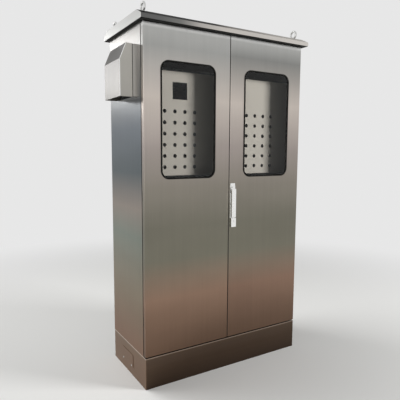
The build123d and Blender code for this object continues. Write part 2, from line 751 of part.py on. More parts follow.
def hinge_brackets(side, label):
    """Three U brackets on the door's side wall; each holds a pin above and below the arm's knuckle."""
    wall_x = half_width - door_sheet
    back_sheet = pivot_x + hinge_knuckle_diameter / 2 + hinge_web_gap
    with BuildPart() as brackets:
        for level in hinge_levels:
            with BuildSketch(Plane.XY.offset(level - hinge_height / 2)):
                with Locations((side * pivot_x, pivot_y)):
                    Circle(hinge_knuckle_diameter / 2)
                with Locations((side * (pivot_x + wall_x) / 2, pivot_y)):
                    Rectangle(wall_x - pivot_x, hinge_knuckle_diameter)
            extrude(amount=hinge_height)
            with BuildSketch(Plane.XY.offset(level - hinge_height / 2 + hinge_ear)):
                with Locations((side * (back_sheet - door_lip), pivot_y)):
                    Rectangle(2 * door_lip, 2 * hinge_knuckle_diameter)
            extrude(amount=hinge_height - 2 * hinge_ear, mode=Mode.SUBTRACT)
            with BuildSketch(Plane.XY.offset(level - hinge_height / 2)):
                with Locations((side * pivot_x, pivot_y)):
                    Circle(hinge_pin_diameter / 2)
            extrude(amount=hinge_height, mode=Mode.SUBTRACT)
    return save(brackets.part, label)


def hinge_pins(side, label):
    """Headed pins, tight in the door's brackets and running in the arms' knuckles."""
    with BuildPart() as pins:
        for level in hinge_levels:
            with BuildSketch(Plane.XY.offset(level - hinge_height / 2)):
                with Locations((side * pivot_x, pivot_y)):
                    Circle(hinge_pin_diameter / 2)
            extrude(amount=hinge_height)
            with BuildSketch(Plane.XY.offset(level + hinge_height / 2)):
                with Locations((side * pivot_x, pivot_y)):
                    Circle(hinge_pin_head_diameter / 2)
            extrude(amount=hinge_pin_head_height)
    return save(pins.part, label)


# Six equal cranked arms on the frame; each ends in a knuckle that reaches inside a door pan
arm_reach_x = pivot_x - hinge_arm_reach
arm_foot_x = arm_reach_x - hinge_foot_length
arm_screw_x = arm_foot_x + hinge_foot_length / 2 - hinge_arm_sheet / 2
knuckle_half = hinge_height / 2 - hinge_ear - hinge_axial_gap
with BuildPart() as hinge_arms:
    for side in (-1, 1):
        for level in hinge_levels:
            with BuildSketch(Plane.XY.offset(level - knuckle_half)):
                with Locations((side * pivot_x, pivot_y)):
                    Circle(hinge_knuckle_diameter / 2)
                with Locations((side * (pivot_x + arm_reach_x) / 2, pivot_y)):
                    Rectangle(hinge_arm_reach, hinge_arm_sheet)
                with Locations((side * arm_reach_x, (pivot_y - hinge_arm_sheet / 2 + frame_face) / 2)):
                    Rectangle(hinge_arm_sheet, frame_face - pivot_y + hinge_arm_sheet / 2)
                with Locations((side * (arm_reach_x + arm_foot_x) / 2, frame_face - hinge_foot_sheet / 2)):
                    Rectangle(hinge_foot_length + hinge_arm_sheet, hinge_foot_sheet)
                with Locations((side * pivot_x, pivot_y)):
                    Circle(hinge_pin_diameter / 2 + running_gap, mode=Mode.SUBTRACT)
            extrude(amount=2 * knuckle_half)
    with BuildSketch(front_plane(frame_face)):
        for level in hinge_levels:
            with Locations((-arm_screw_x, level), (arm_screw_x, level)):
                Circle(hinge_screw_diameter / 2)
    extrude(amount=hinge_foot_sheet, mode=Mode.SUBTRACT)
save(hinge_arms.part, "hinge_arms")

# One pan-head screw through each arm's foot into the frame
with BuildPart() as hinge_screws:
    for head_plane, radius, reach in (
            (frame_face - hinge_foot_sheet, hinge_screw_diameter / 2, -hinge_foot_sheet),
            (frame_face - hinge_foot_sheet, hinge_screw_diameter * pan_head_radius,
             hinge_screw_diameter * pan_head_height)):
        with BuildSketch(front_plane(head_plane)):
            for level in hinge_levels:
                with Locations((-arm_screw_x, level), (arm_screw_x, level)):
                    Circle(radius)
        extrude(amount=reach)
save(hinge_screws.part, "hinge_screws")

for door_side, door_name in ((-1, "left"), (1, "right")):
    door_pan(door_side, f"{door_name}_door")
    window_seal(door_side, f"{door_name}_window_seal")
    window_glass(door_side, f"{door_name}_window_glass")
    door_gasket(door_side, f"{door_name}_door_gasket")
    hinge_brackets(door_side, f"{door_name}_hinge_brackets")
    hinge_pins(door_side, f"{door_name}_hinge_pins")

# Handle base: cast tray plate with a ramped head and the lock block at its foot
base_front = front - handle_base_sheet
handle_front = front - handle_proud
handle_middle_z = handle_top_z - handle_length / 2
ramp_slope = (handle_proud - handle_ramp_end) / handle_ramp_length
lock_block_top = handle_foot_z + lock_block_height
turned_lever_room = lever_width / 2 + turned_lever_gap
with BuildPart() as handle_base:
    with BuildSketch(front_plane(front)):
        with Locations((handle_from_centre, handle_middle_z)):
            RectangleRounded(handle_width, handle_length, bend_radius)
    extrude(amount=handle_base_sheet)
    with BuildSketch(front_plane(front)):
        with Locations((handle_from_centre, handle_foot_z + lock_block_height / 2)):
            RectangleRounded(handle_width, lock_block_height, bend_radius)
    extrude(amount=handle_proud)
    fillet(handle_base.faces().sort_by(Axis.Y)[0].edges(), cast_edge_radius)
    with BuildSketch(side_plane(handle_from_centre - handle_width / 2 + bend_radius)):
        with BuildLine():
            Polyline((front, handle_top_z - bend_radius),
                     (front - handle_ramp_end, handle_top_z - bend_radius),
                     (handle_front, handle_top_z - handle_ramp_length),
                     (front, handle_top_z - handle_ramp_length), close=True)
        make_face()
    extrude(amount=handle_width - 2 * bend_radius)
    with BuildSketch(front_plane(base_front)):
        with Locations((handle_from_centre, spindle_z)):
            Circle(hub_radius + handle_gap * 2)
        with Locations((handle_from_centre, spindle_z + turned_lever_room / 2)):
            Rectangle(handle_width, turned_lever_room)
    extrude(amount=handle_proud, mode=Mode.SUBTRACT)
    with BuildSketch(front_plane(front)):
        with Locations((handle_from_centre, spindle_z)):
            Circle(spindle_diameter / 2 + running_gap)
    extrude(amount=handle_base_sheet, mode=Mode.SUBTRACT)
    with BuildSketch(front_plane(front)):
        with Locations((handle_from_centre, lock_z)):
            Circle(lock_barrel_diameter / 2 + running_gap)
    extrude(amount=handle_proud, mode=Mode.SUBTRACT)
save(handle_base.part, "handle_base")

# Handle hub: disc, spindle through the door, lug for the lever's pin and a raised back that carries the ramp
hub_rear = base_front - handle_gap
hub_front = hub_rear - hub_sheet
pin_y = hub_front - lever_pin_rise
ramp_at_hub = handle_proud - ramp_slope * hub_radius
hub_back_reach = lever_head_reach + bend_radius + handle_gap * 2
with BuildPart() as handle_hub:
    with BuildSketch(front_plane(hub_rear)):
        with Locations((handle_from_centre, spindle_z)):
            Circle(hub_radius)
    extrude(amount=handle_proud)
    with BuildSketch(side_plane(handle_from_centre - 2 * hub_radius)):
        with BuildLine():
            Polyline((hub_front, spindle_z - 2 * hub_radius), (hub_front, spindle_z + hub_back_reach),
                     (front - handle_proud + ramp_slope * hub_back_reach, spindle_z + hub_back_reach),
                     (front - ramp_at_hub, spindle_z + hub_radius),
                     (front - ramp_at_hub, spindle_z + 2 * hub_radius),
                     (front - 2 * handle_proud, spindle_z + 2 * hub_radius),
                     (front - 2 * handle_proud, spindle_z - 2 * hub_radius), close=True)
        make_face()
    extrude(amount=4 * hub_radius, mode=Mode.SUBTRACT)
    with BuildSketch(side_plane(handle_from_centre - lever_lug_width / 2)):
        with Locations((pin_y, spindle_z)):
            Circle(lever_lug_radius)
        with Locations(((pin_y + hub_rear) / 2, spindle_z)):
            Rectangle(hub_rear - pin_y, 2 * lever_lug_radius)
    extrude(amount=lever_lug_width)
    with BuildSketch(side_plane(handle_from_centre - lever_lug_width / 2)):
        with Locations((pin_y, spindle_z)):
            Circle(lever_pin_diameter / 2 + running_gap)
    extrude(amount=lever_lug_width, mode=Mode.SUBTRACT)
    with BuildSketch(front_plane(front + cam_depth)):
        with Locations((handle_from_centre, spindle_z)):
            Circle(spindle_diameter / 2)
    extrude(amount=front + cam_depth - hub_rear)
save(handle_hub.part, "handle_hub")

# Lever: long bar with a ramped head, pinned on the hub's lug; its underside is relieved so that it can lift
lever_rear = hub_front - handle_gap
lever_foot_z = lock_block_top + bend_radius
lever_head_z = spindle_z + lever_head_reach
relief_radius = pin_y - lever_rear
lift = math.radians(lever_lift_angle)
head_rear_y = pin_y + (relief_radius - lever_head_reach * math.sin(lift)) / math.cos(lift)
with BuildPart() as handle_lever:
    with BuildSketch(side_plane(handle_from_centre - lever_width / 2)):
        with BuildLine():
            Polyline((base_front - handle_gap, lever_foot_z), (handle_front, lever_foot_z),
                     (handle_front, spindle_z),
                     (handle_front + ramp_slope * lever_head_reach, lever_head_z),
                     (head_rear_y, lever_head_z),
                     (lever_rear, spindle_z - relief_radius * math.tan(lift / 2)),
                     (lever_rear, spindle_z - hub_radius - handle_gap * 2),
                     (base_front - handle_gap, spindle_z - hub_radius - handle_gap * 2), close=True)
        make_face()
    extrude(amount=lever_width)
    with BuildSketch(side_plane(handle_from_centre - lever_lug_width / 2 - handle_gap)):
        with Locations(((pin_y - lever_lug_radius - handle_gap + hub_rear) / 2, spindle_z - relief_radius)):
            Rectangle(hub_rear - pin_y + lever_lug_radius + handle_gap,
                      4 * relief_radius + 4 * lever_head_reach)
    extrude(amount=lever_lug_width + 2 * handle_gap, mode=Mode.SUBTRACT)
    with BuildSketch(side_plane(handle_from_centre - lever_width / 2)):
        with Locations((pin_y, spindle_z)):
            Circle(lever_pin_diameter / 2)
    extrude(amount=lever_width, mode=Mode.SUBTRACT)
    with BuildSketch(front_plane(base_front - handle_gap)):
        with Locations((handle_from_centre, lever_foot_z + finger_scoop_rise)):
            with GridLocations(lever_width, 1, 2, 1):
                SlotOverall(finger_scoop_length, 2 * finger_scoop_reach, rotation=90)
    extrude(amount=finger_scoop_depth, mode=Mode.SUBTRACT)
save(handle_lever.part, "handle_lever")

# Cross pin of the lever, tight in the lever and running in the hub's lug
with BuildPart() as lever_pin:
    with BuildSketch(side_plane(handle_from_centre - lever_width / 2)):
        with Locations((pin_y, spindle_z)):
            Circle(lever_pin_diameter / 2)
    extrude(amount=lever_width)
save(lever_pin.part, "lever_pin")

# Key barrel in the lock block, with a rim in front, a key slot and a tongue behind the door sheet
tongue_y = front + door_sheet + handle_gap
with BuildPart() as lock_barrel:
    with BuildSketch(front_plane(tongue_y)):
        with Locations((handle_from_centre, lock_z)):
            Circle(lock_barrel_diameter / 2)
    extrude(amount=tongue_y - handle_front + lock_rim_proud)
    with BuildSketch(front_plane(tongue_y)):
        with Locations((handle_from_centre, lock_z)):
            SlotCenterPoint((0, 0), (0, lock_tongue_length / 2), lock_barrel_diameter)
    extrude(amount=-lock_tongue_sheet)
    with BuildSketch(front_plane(handle_front - lock_rim_proud)):
        with Locations((handle_from_centre, lock_z)):
            Rectangle(key_slot_width, key_slot_height)
    extrude(amount=-handle_proud / 2, mode=Mode.SUBTRACT)
save(lock_barrel.part, "lock_barrel")

# Cam plate on the spindle's inner end, with one drive pin for each rod
cam_front_y = front + cam_depth
pin_reach = cam_radius * math.cos(math.radians(45))
pin_end_y = cam_front_y + cam_sheet + yoke_gap + yoke_sheet + yoke_gap
with BuildPart() as latch_cam:
    with BuildSketch(front_plane(cam_front_y)):
        with Locations((handle_from_centre, spindle_z)):
            SlotCenterToCenter(2 * cam_radius, cam_pin_diameter + 2 * cam_rim, rotation=135)
            Circle(spindle_diameter / 2)
    extrude(amount=-cam_sheet)
    with BuildSketch(front_plane(cam_front_y)):
        with Locations((handle_from_centre - pin_reach, spindle_z + pin_reach),
                       (handle_from_centre + pin_reach, spindle_z - pin_reach)):
            Circle(cam_pin_diameter / 2)
    extrude(amount=cam_front_y - pin_end_y)
save(latch_cam.part, "latch_cam")

yoke_rear_y = rod_axis_y + yoke_sheet / 2
slot_inner = pin_reach - cam_pin_diameter / 2 - yoke_slot_play
slot_outer = cam_radius + cam_pin_diameter / 2 + yoke_slot_play
yoke_half_height = cam_pin_diameter / 2 + yoke_slot_play + yoke_rim
yoke_tail = cam_travel + cam_radius + cam_pin_diameter + cam_rim


def latch_rod(way, tip_z, label):
    """Round rod with a slotted yoke plate that the cam's pin drives; way is 1 upwards and -1 downwards."""
    pin_z = spindle_z + way * pin_reach
    yoke_x = handle_from_centre - way * (slot_inner + slot_outer) / 2
    rod_x = handle_from_centre - way * rod_offset
    tail_z = pin_z + way * yoke_tail
    with BuildPart() as rod:
        with BuildSketch(front_plane(yoke_rear_y)):
            with Locations((yoke_x, (pin_z - way * yoke_half_height + tail_z) / 2)):
                Rectangle(slot_outer - slot_inner + 2 * yoke_side_rim, abs(tail_z - pin_z) + yoke_half_height)
            with Locations((yoke_x, pin_z)):
                Rectangle(slot_outer - slot_inner, cam_pin_diameter + 2 * yoke_slot_play, mode=Mode.SUBTRACT)
        extrude(amount=yoke_sheet)
        with BuildSketch(Plane.XY.offset(tail_z - way * rod_diameter / 2)):
            with Locations((rod_x, rod_axis_y)):
                Circle(rod_diameter / 2)
        extrude(amount=tip_z - tail_z + way * rod_diameter / 2)
    return save(rod.part, label)


top_rod_tip = top_keeper_z - rod_end_gap
foot_rod_tip = foot_keeper_z + rod_end_gap
latch_rod(1, top_rod_tip, "upper_latch_rod")
latch_rod(-1, foot_rod_tip, "lower_latch_rod")

# Guide blocks on the right door's back, bored for the rods
guide_depth = rod_axis_y + rod_diameter / 2 + guide_rim - front - door_sheet
upper_guides = (spindle_z + guide_first_reach, top_rod_tip - guide_end_reach)
lower_guides = (spindle_z - guide_first_reach, foot_rod_tip + guide_end_reach)
with BuildPart() as rod_guides:
    for guide_levels, guide_x in ((upper_guides, handle_from_centre - rod_offset),
                                  (lower_guides, handle_from_centre + rod_offset)):
        with BuildSketch(front_plane(front + door_sheet)):
            for level in guide_levels:
                with Locations((guide_x, level)):
                    Rectangle(guide_width, guide_height)
        extrude(amount=-guide_depth)
        for level in guide_levels:
            with BuildSketch(Plane.XY.offset(level - guide_height / 2)):
                with Locations((guide_x, rod_axis_y)):
                    Circle(rod_diameter / 2 + running_gap)
            extrude(amount=guide_height, mode=Mode.SUBTRACT)
save(rod_guides.part, "rod_guides")


def shoot_bolt(way, tip_z, label):
    """Short hand bolt at one end of the left door's free edge, with a side knob."""
    with BuildPart() as bolt:
        with BuildSketch(Plane.XY.offset(tip_z)):
            with Locations((-bolt_from_centre, rod_axis_y)):
                Circle(rod_diameter / 2)
        extrude(amount=-way * bolt_length)
        with BuildSketch(side_plane(-bolt_from_centre)):
            with Locations((rod_axis_y, tip_z - way * (bolt_length - bolt_knob_diameter))):
                Circle(bolt_knob_diameter / 2)
        extrude(amount=-bolt_knob_length)
    return save(bolt.part, label)


shoot_bolt(1, top_rod_tip, "left_door_top_bolt")
shoot_bolt(-1, foot_rod_tip, "left_door_foot_bolt")

# Guide blocks of the hand bolts
with BuildPart() as bolt_guides:
    bolt_guide_levels = []
    for way, tip_z in ((1, top_rod_tip), (-1, foot_rod_tip)):
        first_guide_z = tip_z - way * guide_end_reach
        bolt_guide_levels += [first_guide_z, first_guide_z - way * bolt_guide_spacing]
    with BuildSketch(front_plane(front + door_sheet)):
        for level in bolt_guide_levels:
            with Locations((-bolt_from_centre, level)):
                Rectangle(guide_width, guide_height)
    extrude(amount=-guide_depth)
    for level in bolt_guide_levels:
        with BuildSketch(Plane.XY.offset(level - guide_height / 2)):
            with Locations((-bolt_from_centre, rod_axis_y)):
                Circle(rod_diameter / 2 + running_gap)
        extrude(amount=guide_height, mode=Mode.SUBTRACT)
save(bolt_guides.part, "bolt_guides")

# Keepers: angles on the frame's head and foot whose noses take the rods' and bolts' tips
with BuildPart() as rod_keepers:
    for way, level, keeper_x in ((1, top_keeper_z, handle_from_centre - rod_offset),
                                 (-1, foot_keeper_z, handle_from_centre + rod_offset),
                                 (1, top_keeper_z, -bolt_from_centre),
                                 (-1, foot_keeper_z, -bolt_from_centre)):
        with BuildSketch(side_plane(keeper_x - keeper_width / 2)):
            with BuildLine():
                Polyline((rod_axis_y - keeper_nose, level), (frame_face, level),
                         (frame_face, level + way * keeper_foot),
                         (frame_face - keeper_sheet, level + way * keeper_foot),
                         (frame_face - keeper_sheet, level + way * keeper_sheet),
                         (rod_axis_y - keeper_nose, level + way * keeper_sheet), close=True)
            make_face()
        extrude(amount=keeper_width)
        with BuildSketch(Plane.XY.offset(level)):
            with Locations((keeper_x, rod_axis_y)):
                Circle(rod_diameter / 2 + keeper_play)
        extrude(amount=way * keeper_sheet, mode=Mode.SUBTRACT)
save(rod_keepers.part, "rod_keepers")

# Instrument panels: drilled trays on angle rails, one in each bay
panel_centre_z = panel_top_z - panel_height / 2
panel_face = front + panel_depth
panel_screw_x = panel_width / 2 - rail_flange / 2
panel_screw_z = panel_height / 2 - panel_screw_end_margin


def instrument_panel(side, metered, label):
    """Drilled sheet with its top and bottom edges folded back; one panel also has a square meter cut-out."""
    with BuildPart() as panel:
        with BuildSketch(front_plane(panel_face)):
            with Locations((side * panel_from_centre, panel_centre_z)):
                Rectangle(panel_width, panel_height)
        extrude(amount=-panel_edge_fold)
        with BuildSketch(front_plane(panel_face + panel_sheet)):
            with Locations((side * panel_from_centre, panel_centre_z)):
                Rectangle(panel_width, panel_height - 2 * panel_sheet)
        extrude(amount=-(panel_edge_fold - panel_sheet), mode=Mode.SUBTRACT)
        with BuildSketch(front_plane(panel_face)):
            with Locations((side * panel_from_centre, lamp_centre_z)):
                with GridLocations(lamp_pitch_x, lamp_pitch_z, lamp_columns, lamp_rows):
                    Circle(lamp_hole_diameter / 2)
            with Locations((side * panel_from_centre, panel_centre_z)):
                with GridLocations(2 * panel_screw_x, 2 * panel_screw_z, 2, 2):
                    Circle(panel_screw_diameter / 2)
            if metered:
                with Locations((side * panel_from_centre, meter_centre_z)):
                    Rectangle(meter_cutout, meter_cutout)
        extrude(amount=-panel_sheet, mode=Mode.SUBTRACT)
    return save(panel.part, label)


instrument_panel(-1, True, "left_instrument_panel")
instrument_panel(1, False, "right_instrument_panel")

rail_face = panel_face + panel_sheet
rail_height = panel_height - 2 * panel_sheet
with BuildPart() as panel_rails:
    for side in (-1, 1):
        for edge in (-1, 1):
            edge_x = side * panel_from_centre + edge * panel_width / 2
            wall_x = side * inner_half if edge == side else side * post_channel_half_width
            with BuildSketch(Plane.XY.offset(panel_centre_z - rail_height / 2)):
                with Locations(((edge_x - edge * rail_flange + wall_x) / 2, rail_face + body_sheet / 2)):
                    Rectangle(abs(wall_x - edge_x) + rail_flange, body_sheet)
                with Locations((wall_x - edge * body_sheet / 2, rail_face + rail_flange / 2)):
                    Rectangle(body_sheet, rail_flange)
            extrude(amount=rail_height)
    with BuildSketch(front_plane(rail_face)):
        for side in (-1, 1):
            with Locations((side * panel_from_centre, panel_centre_z)):
                with GridLocations(2 * panel_screw_x, 2 * panel_screw_z, 2, 2):
                    Circle(panel_screw_diameter / 2)
    extrude(amount=-body_sheet, mode=Mode.SUBTRACT)
save(panel_rails.part, "panel_rails")

with BuildPart() as panel_screws:
    with BuildSketch(front_plane(panel_face)):
        for side in (-1, 1):
            with Locations((side * panel_from_centre, panel_centre_z)):
                with GridLocations(2 * panel_screw_x, 2 * panel_screw_z, 2, 2):
                    Circle(panel_screw_diameter / 2)
    extrude(amount=-(panel_sheet + body_sheet + panel_screw_diameter * thread_past))
    with BuildSketch(front_plane(panel_face)):
        for side in (-1, 1):
            with Locations((side * panel_from_centre, panel_centre_z)):
                with GridLocations(2 * panel_screw_x, 2 * panel_screw_z, 2, 2):
                    Circle(panel_screw_diameter * pan_head_radius)
    extrude(amount=panel_screw_diameter * pan_head_height)
save(panel_screws.part, "panel_screws")

# Mounting plate for the equipment, held to the rear panel's standoffs by countersunk screws
plate_face = rear - body_sheet - plate_standoff - plate_sheet
plate_plane = front_plane(plate_face)
with BuildPart() as mounting_plate:
    with BuildSketch(plate_plane):
        with Locations((0, plate_centre_z)):
            RectangleRounded(plate_width, plate_height, bend_radius)
    extrude(amount=-plate_sheet)
    with Locations(plate_plane):
        with Locations((0, plate_centre_z)):
            with GridLocations(plate_bolt_spacing_x, plate_bolt_spacing_z, 2, 3):
                Cone(plate_bolt_diameter / 2, plate_bolt_diameter / 2 + plate_sheet, plate_sheet,
                     align=(Align.CENTER, Align.CENTER, Align.MAX), mode=Mode.SUBTRACT)
save(mounting_plate.part, "mounting_plate")

with BuildPart() as plate_bolts:
    with Locations(plate_plane):
        with Locations((0, plate_centre_z)):
            with GridLocations(plate_bolt_spacing_x, plate_bolt_spacing_z, 2, 3):
                Cone(plate_bolt_diameter / 2, plate_bolt_diameter / 2 + plate_sheet, plate_sheet,
                     align=(Align.CENTER, Align.CENTER, Align.MAX))
    with BuildSketch(front_plane(plate_face + plate_sheet)):
        with Locations((0, plate_centre_z)):
            with GridLocations(plate_bolt_spacing_x, plate_bolt_spacing_z, 2, 3):
                Circle(plate_bolt_diameter / 2)
    extrude(amount=-plate_standoff)
save(plate_bolts.part, "plate_bolts")

# Vent frame on the left wall: a shallow box, open through, with a collar that the hood slips over
vent_outer_x = -half_width - vent_box_depth
collar_x = vent_outer_x - 2 * vent_joint_gap
mat_width = vent_width - 4 * vent_sheet
mat_height = vent_height - 4 * vent_sheet
with BuildPart() as vent_frame:
    with BuildSketch(side_plane(-half_width)):
        with Locations((vent_centre_y, vent_centre_z)):
            Rectangle(vent_width, vent_height)
    extrude(amount=-vent_box_depth)
    fillet(vent_frame.edges().filter_by(Axis.X), vent_corner)
    with BuildSketch(side_plane(vent_outer_x)):
        with Locations((vent_centre_y, vent_centre_z)):
            Rectangle(vent_width - 2 * vent_sheet, vent_height - 2 * vent_sheet)
    extrude(amount=collar_x - vent_outer_x)
    with BuildSketch(side_plane(-half_width)):
        with Locations((vent_centre_y, vent_centre_z)):
            Rectangle(mat_width, mat_height)
    extrude(amount=collar_x + half_width, mode=Mode.SUBTRACT)
save(vent_frame.part, "vent_frame")

# Rain hood: folded cover with a sloping brow, open underneath and towards the wall
hood_root_x = vent_outer_x - vent_joint_gap
hood_front_x = -half_width - hood_projection
hood_brow_x = -half_width - hood_brow
vent_top_z = vent_foot_z + vent_height
hood_brow_slope = math.atan2(hood_slope_drop, hood_projection - hood_brow)
with BuildPart() as vent_hood:
    with BuildSketch(front_plane(vent_centre_y + vent_width / 2)):
        with BuildLine():
            Polyline((hood_root_x, vent_foot_z), (hood_root_x, vent_top_z), (hood_brow_x, vent_top_z),
                     (hood_front_x, vent_top_z - hood_slope_drop), (hood_front_x, vent_foot_z), close=True)
        make_face()
    extrude(amount=vent_width)
    with BuildSketch(front_plane(vent_centre_y + vent_width / 2 - vent_sheet)):
        with BuildLine():
            hood_turn = vent_sheet * math.tan(hood_brow_slope / 2)
            hood_fold = vent_sheet * math.tan((math.pi / 2 - hood_brow_slope) / 2)
            Polyline((hood_root_x, vent_foot_z), (hood_root_x, vent_top_z - vent_sheet),
                     (hood_brow_x + hood_turn, vent_top_z - vent_sheet),
                     (hood_front_x + vent_sheet, vent_top_z - hood_slope_drop - hood_fold),
                     (hood_front_x + vent_sheet, vent_foot_z), close=True)
        make_face()
    extrude(amount=vent_width - 2 * vent_sheet, mode=Mode.SUBTRACT)
save(vent_hood.part, "vent_hood")

# Filter mat behind a slotted grille, both inside the vent frame
with BuildPart() as filter_mat:
    with BuildSketch(side_plane(-half_width)):
        with Locations((vent_centre_y, vent_centre_z)):
            Rectangle(mat_width, mat_height)
    extrude(amount=-filter_thickness)
save(filter_mat.part, "filter_mat")

grille_slots = int((mat_height - 2 * grille_pitch) / grille_pitch)
with BuildPart() as filter_grille:
    with BuildSketch(side_plane(-half_width - filter_thickness)):
        with Locations((vent_centre_y, vent_centre_z)):
            Rectangle(mat_width, mat_height)
            with GridLocations(1, grille_pitch, 1, grille_slots):
                SlotOverall(mat_width - 2 * grille_pitch, grille_slot, mode=Mode.SUBTRACT)
    extrude(amount=-grille_sheet)
save(filter_grille.part, "filter_grille")

# Fan on the wall's inner face: square housing with a round duct, motor seat on three struts
fan_root_x = -inner_half
motor_x = fan_root_x + fan_depth
strut_length = duct_radius - fan_hub_radius + fan_wall
with BuildPart() as fan_housing:
    with BuildSketch(side_plane(fan_root_x)):
        with Locations((fan_centre_y, vent_centre_z)):
            RectangleRounded(fan_side, fan_side, fan_corner)
            Circle(duct_radius, mode=Mode.SUBTRACT)
    extrude(amount=fan_depth)
    with BuildSketch(side_plane(motor_x)):
        with Locations((fan_centre_y, vent_centre_z)):
            Circle(fan_hub_radius)
            with PolarLocations(fan_hub_radius - fan_wall / 2 + strut_length / 2, 3, start_angle=90):
                Rectangle(strut_length, fan_strut_width)
    extrude(amount=-fan_motor_height)
    with BuildSketch(side_plane(motor_x - fan_motor_height)):
        with Locations((fan_centre_y, vent_centre_z)):
            Circle(fan_shaft_diameter / 2)
    extrude(amount=-fan_shaft_reach)
save(fan_housing.part, "fan_housing")

# Fan rotor: cup hub bored for the shaft, with blades that twist from root to tip
rotor_back_x = motor_x - fan_motor_height - handle_gap
rotor_middle_x = rotor_back_x - fan_hub_depth / 2
blade_root = fan_hub_radius - fan_wall
blade_tip = duct_radius - fan_tip_gap
with BuildPart() as fan_rotor:
    with BuildSketch(side_plane(rotor_back_x)):
        with Locations((fan_centre_y, vent_centre_z)):
            Circle(fan_hub_radius)
    extrude(amount=-fan_hub_depth)
    fillet(fan_rotor.faces().sort_by(Axis.X)[0].edges(), bend_radius)
    for blade in range(fan_blades):
        turn = 2 * math.pi * blade / fan_blades
        outward = Vector(0, math.cos(turn), math.sin(turn))
        along = Vector(0, -math.sin(turn), math.cos(turn))
        centre = Vector(rotor_middle_x, fan_centre_y, vent_centre_z)
        with BuildSketch(Plane(centre + outward * blade_root, x_dir=along, z_dir=outward)):
            Rectangle(fan_blade_root_chord, fan_blade_sheet, rotation=fan_blade_root_angle)
        with BuildSketch(Plane(centre + outward * blade_tip, x_dir=along, z_dir=outward)):
            Rectangle(fan_blade_tip_chord, fan_blade_sheet, rotation=fan_blade_tip_angle)
        loft()
    with BuildSketch(side_plane(rotor_back_x)):
        with Locations((fan_centre_y, vent_centre_z)):
            Circle(fan_shaft_diameter / 2 + running_gap)
    extrude(amount=-(fan_shaft_reach + handle_gap), mode=Mode.SUBTRACT)
save(fan_rotor.part, "fan_rotor")

# Wire guard over the fan's inner side: concentric rings on a cross of bars
guard_pitch = (duct_radius - guard_wire) / guard_rings
with BuildPart() as fan_guard:
    with Locations((motor_x + guard_wire / 2, fan_centre_y, vent_centre_z)):
        for ring in range(guard_rings):
            Torus(guard_pitch * (ring + 1), guard_wire / 2, rotation=(0, 90, 0))
    with BuildSketch(side_plane(motor_x)):
        with Locations((fan_centre_y, vent_centre_z)):
            Rectangle(fan_side, 2 * guard_wire, rotation=45)
            Rectangle(fan_side, 2 * guard_wire, rotation=-45)
    extrude(amount=guard_wire)
save(fan_guard.part, "fan_guard")
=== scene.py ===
import math
import bmesh
import bpy
from mathutils import Matrix, Vector


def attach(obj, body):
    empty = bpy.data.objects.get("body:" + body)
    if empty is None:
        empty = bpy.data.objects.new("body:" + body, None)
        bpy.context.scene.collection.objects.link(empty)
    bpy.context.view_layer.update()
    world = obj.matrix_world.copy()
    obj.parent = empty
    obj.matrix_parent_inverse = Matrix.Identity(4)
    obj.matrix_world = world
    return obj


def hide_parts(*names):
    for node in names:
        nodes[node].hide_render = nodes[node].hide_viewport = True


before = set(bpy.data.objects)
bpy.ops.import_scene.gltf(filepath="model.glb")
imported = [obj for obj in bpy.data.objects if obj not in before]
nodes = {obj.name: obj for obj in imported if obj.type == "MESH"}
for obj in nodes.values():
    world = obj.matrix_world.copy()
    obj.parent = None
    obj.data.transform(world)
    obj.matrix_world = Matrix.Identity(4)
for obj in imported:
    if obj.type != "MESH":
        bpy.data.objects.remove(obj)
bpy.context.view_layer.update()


def linear_colour(code):
    """An sRGB hex colour as the linear colour that a shader socket takes."""
    parts = [int(code[i:i + 2], 16) / 255 for i in (1, 3, 5)]
    return [c / 12.92 if c <= 0.04045 else ((c + 0.055) / 1.055) ** 2.4 for c in parts] + [1.0]


def add_node(owner, kind, settings):
    """Adds one node; settings name its sockets, attributes or steps, and a socket as value makes a link."""
    node = owner.node_tree.nodes.new(kind)
    for key, value in settings.items():
        if isinstance(value, bpy.types.NodeSocket):
            owner.node_tree.links.new(value, node.inputs[key])
        elif key == "steps":
            marks = node.color_ramp.elements
            while len(marks) < len(value):
                marks.new(0.5)
            for mark, (place, code) in zip(marks, value):
                mark.position = place
                mark.color = linear_colour(code)
        elif isinstance(key, int) or key in node.inputs:
            node.inputs[key].default_value = value
        else:
            setattr(node, key, value)
    return node


def new_material(name):
    """A node material with nothing in it yet."""
    material = bpy.data.materials.new(name)
    material.use_nodes = True
    material.node_tree.nodes.clear()
    return material


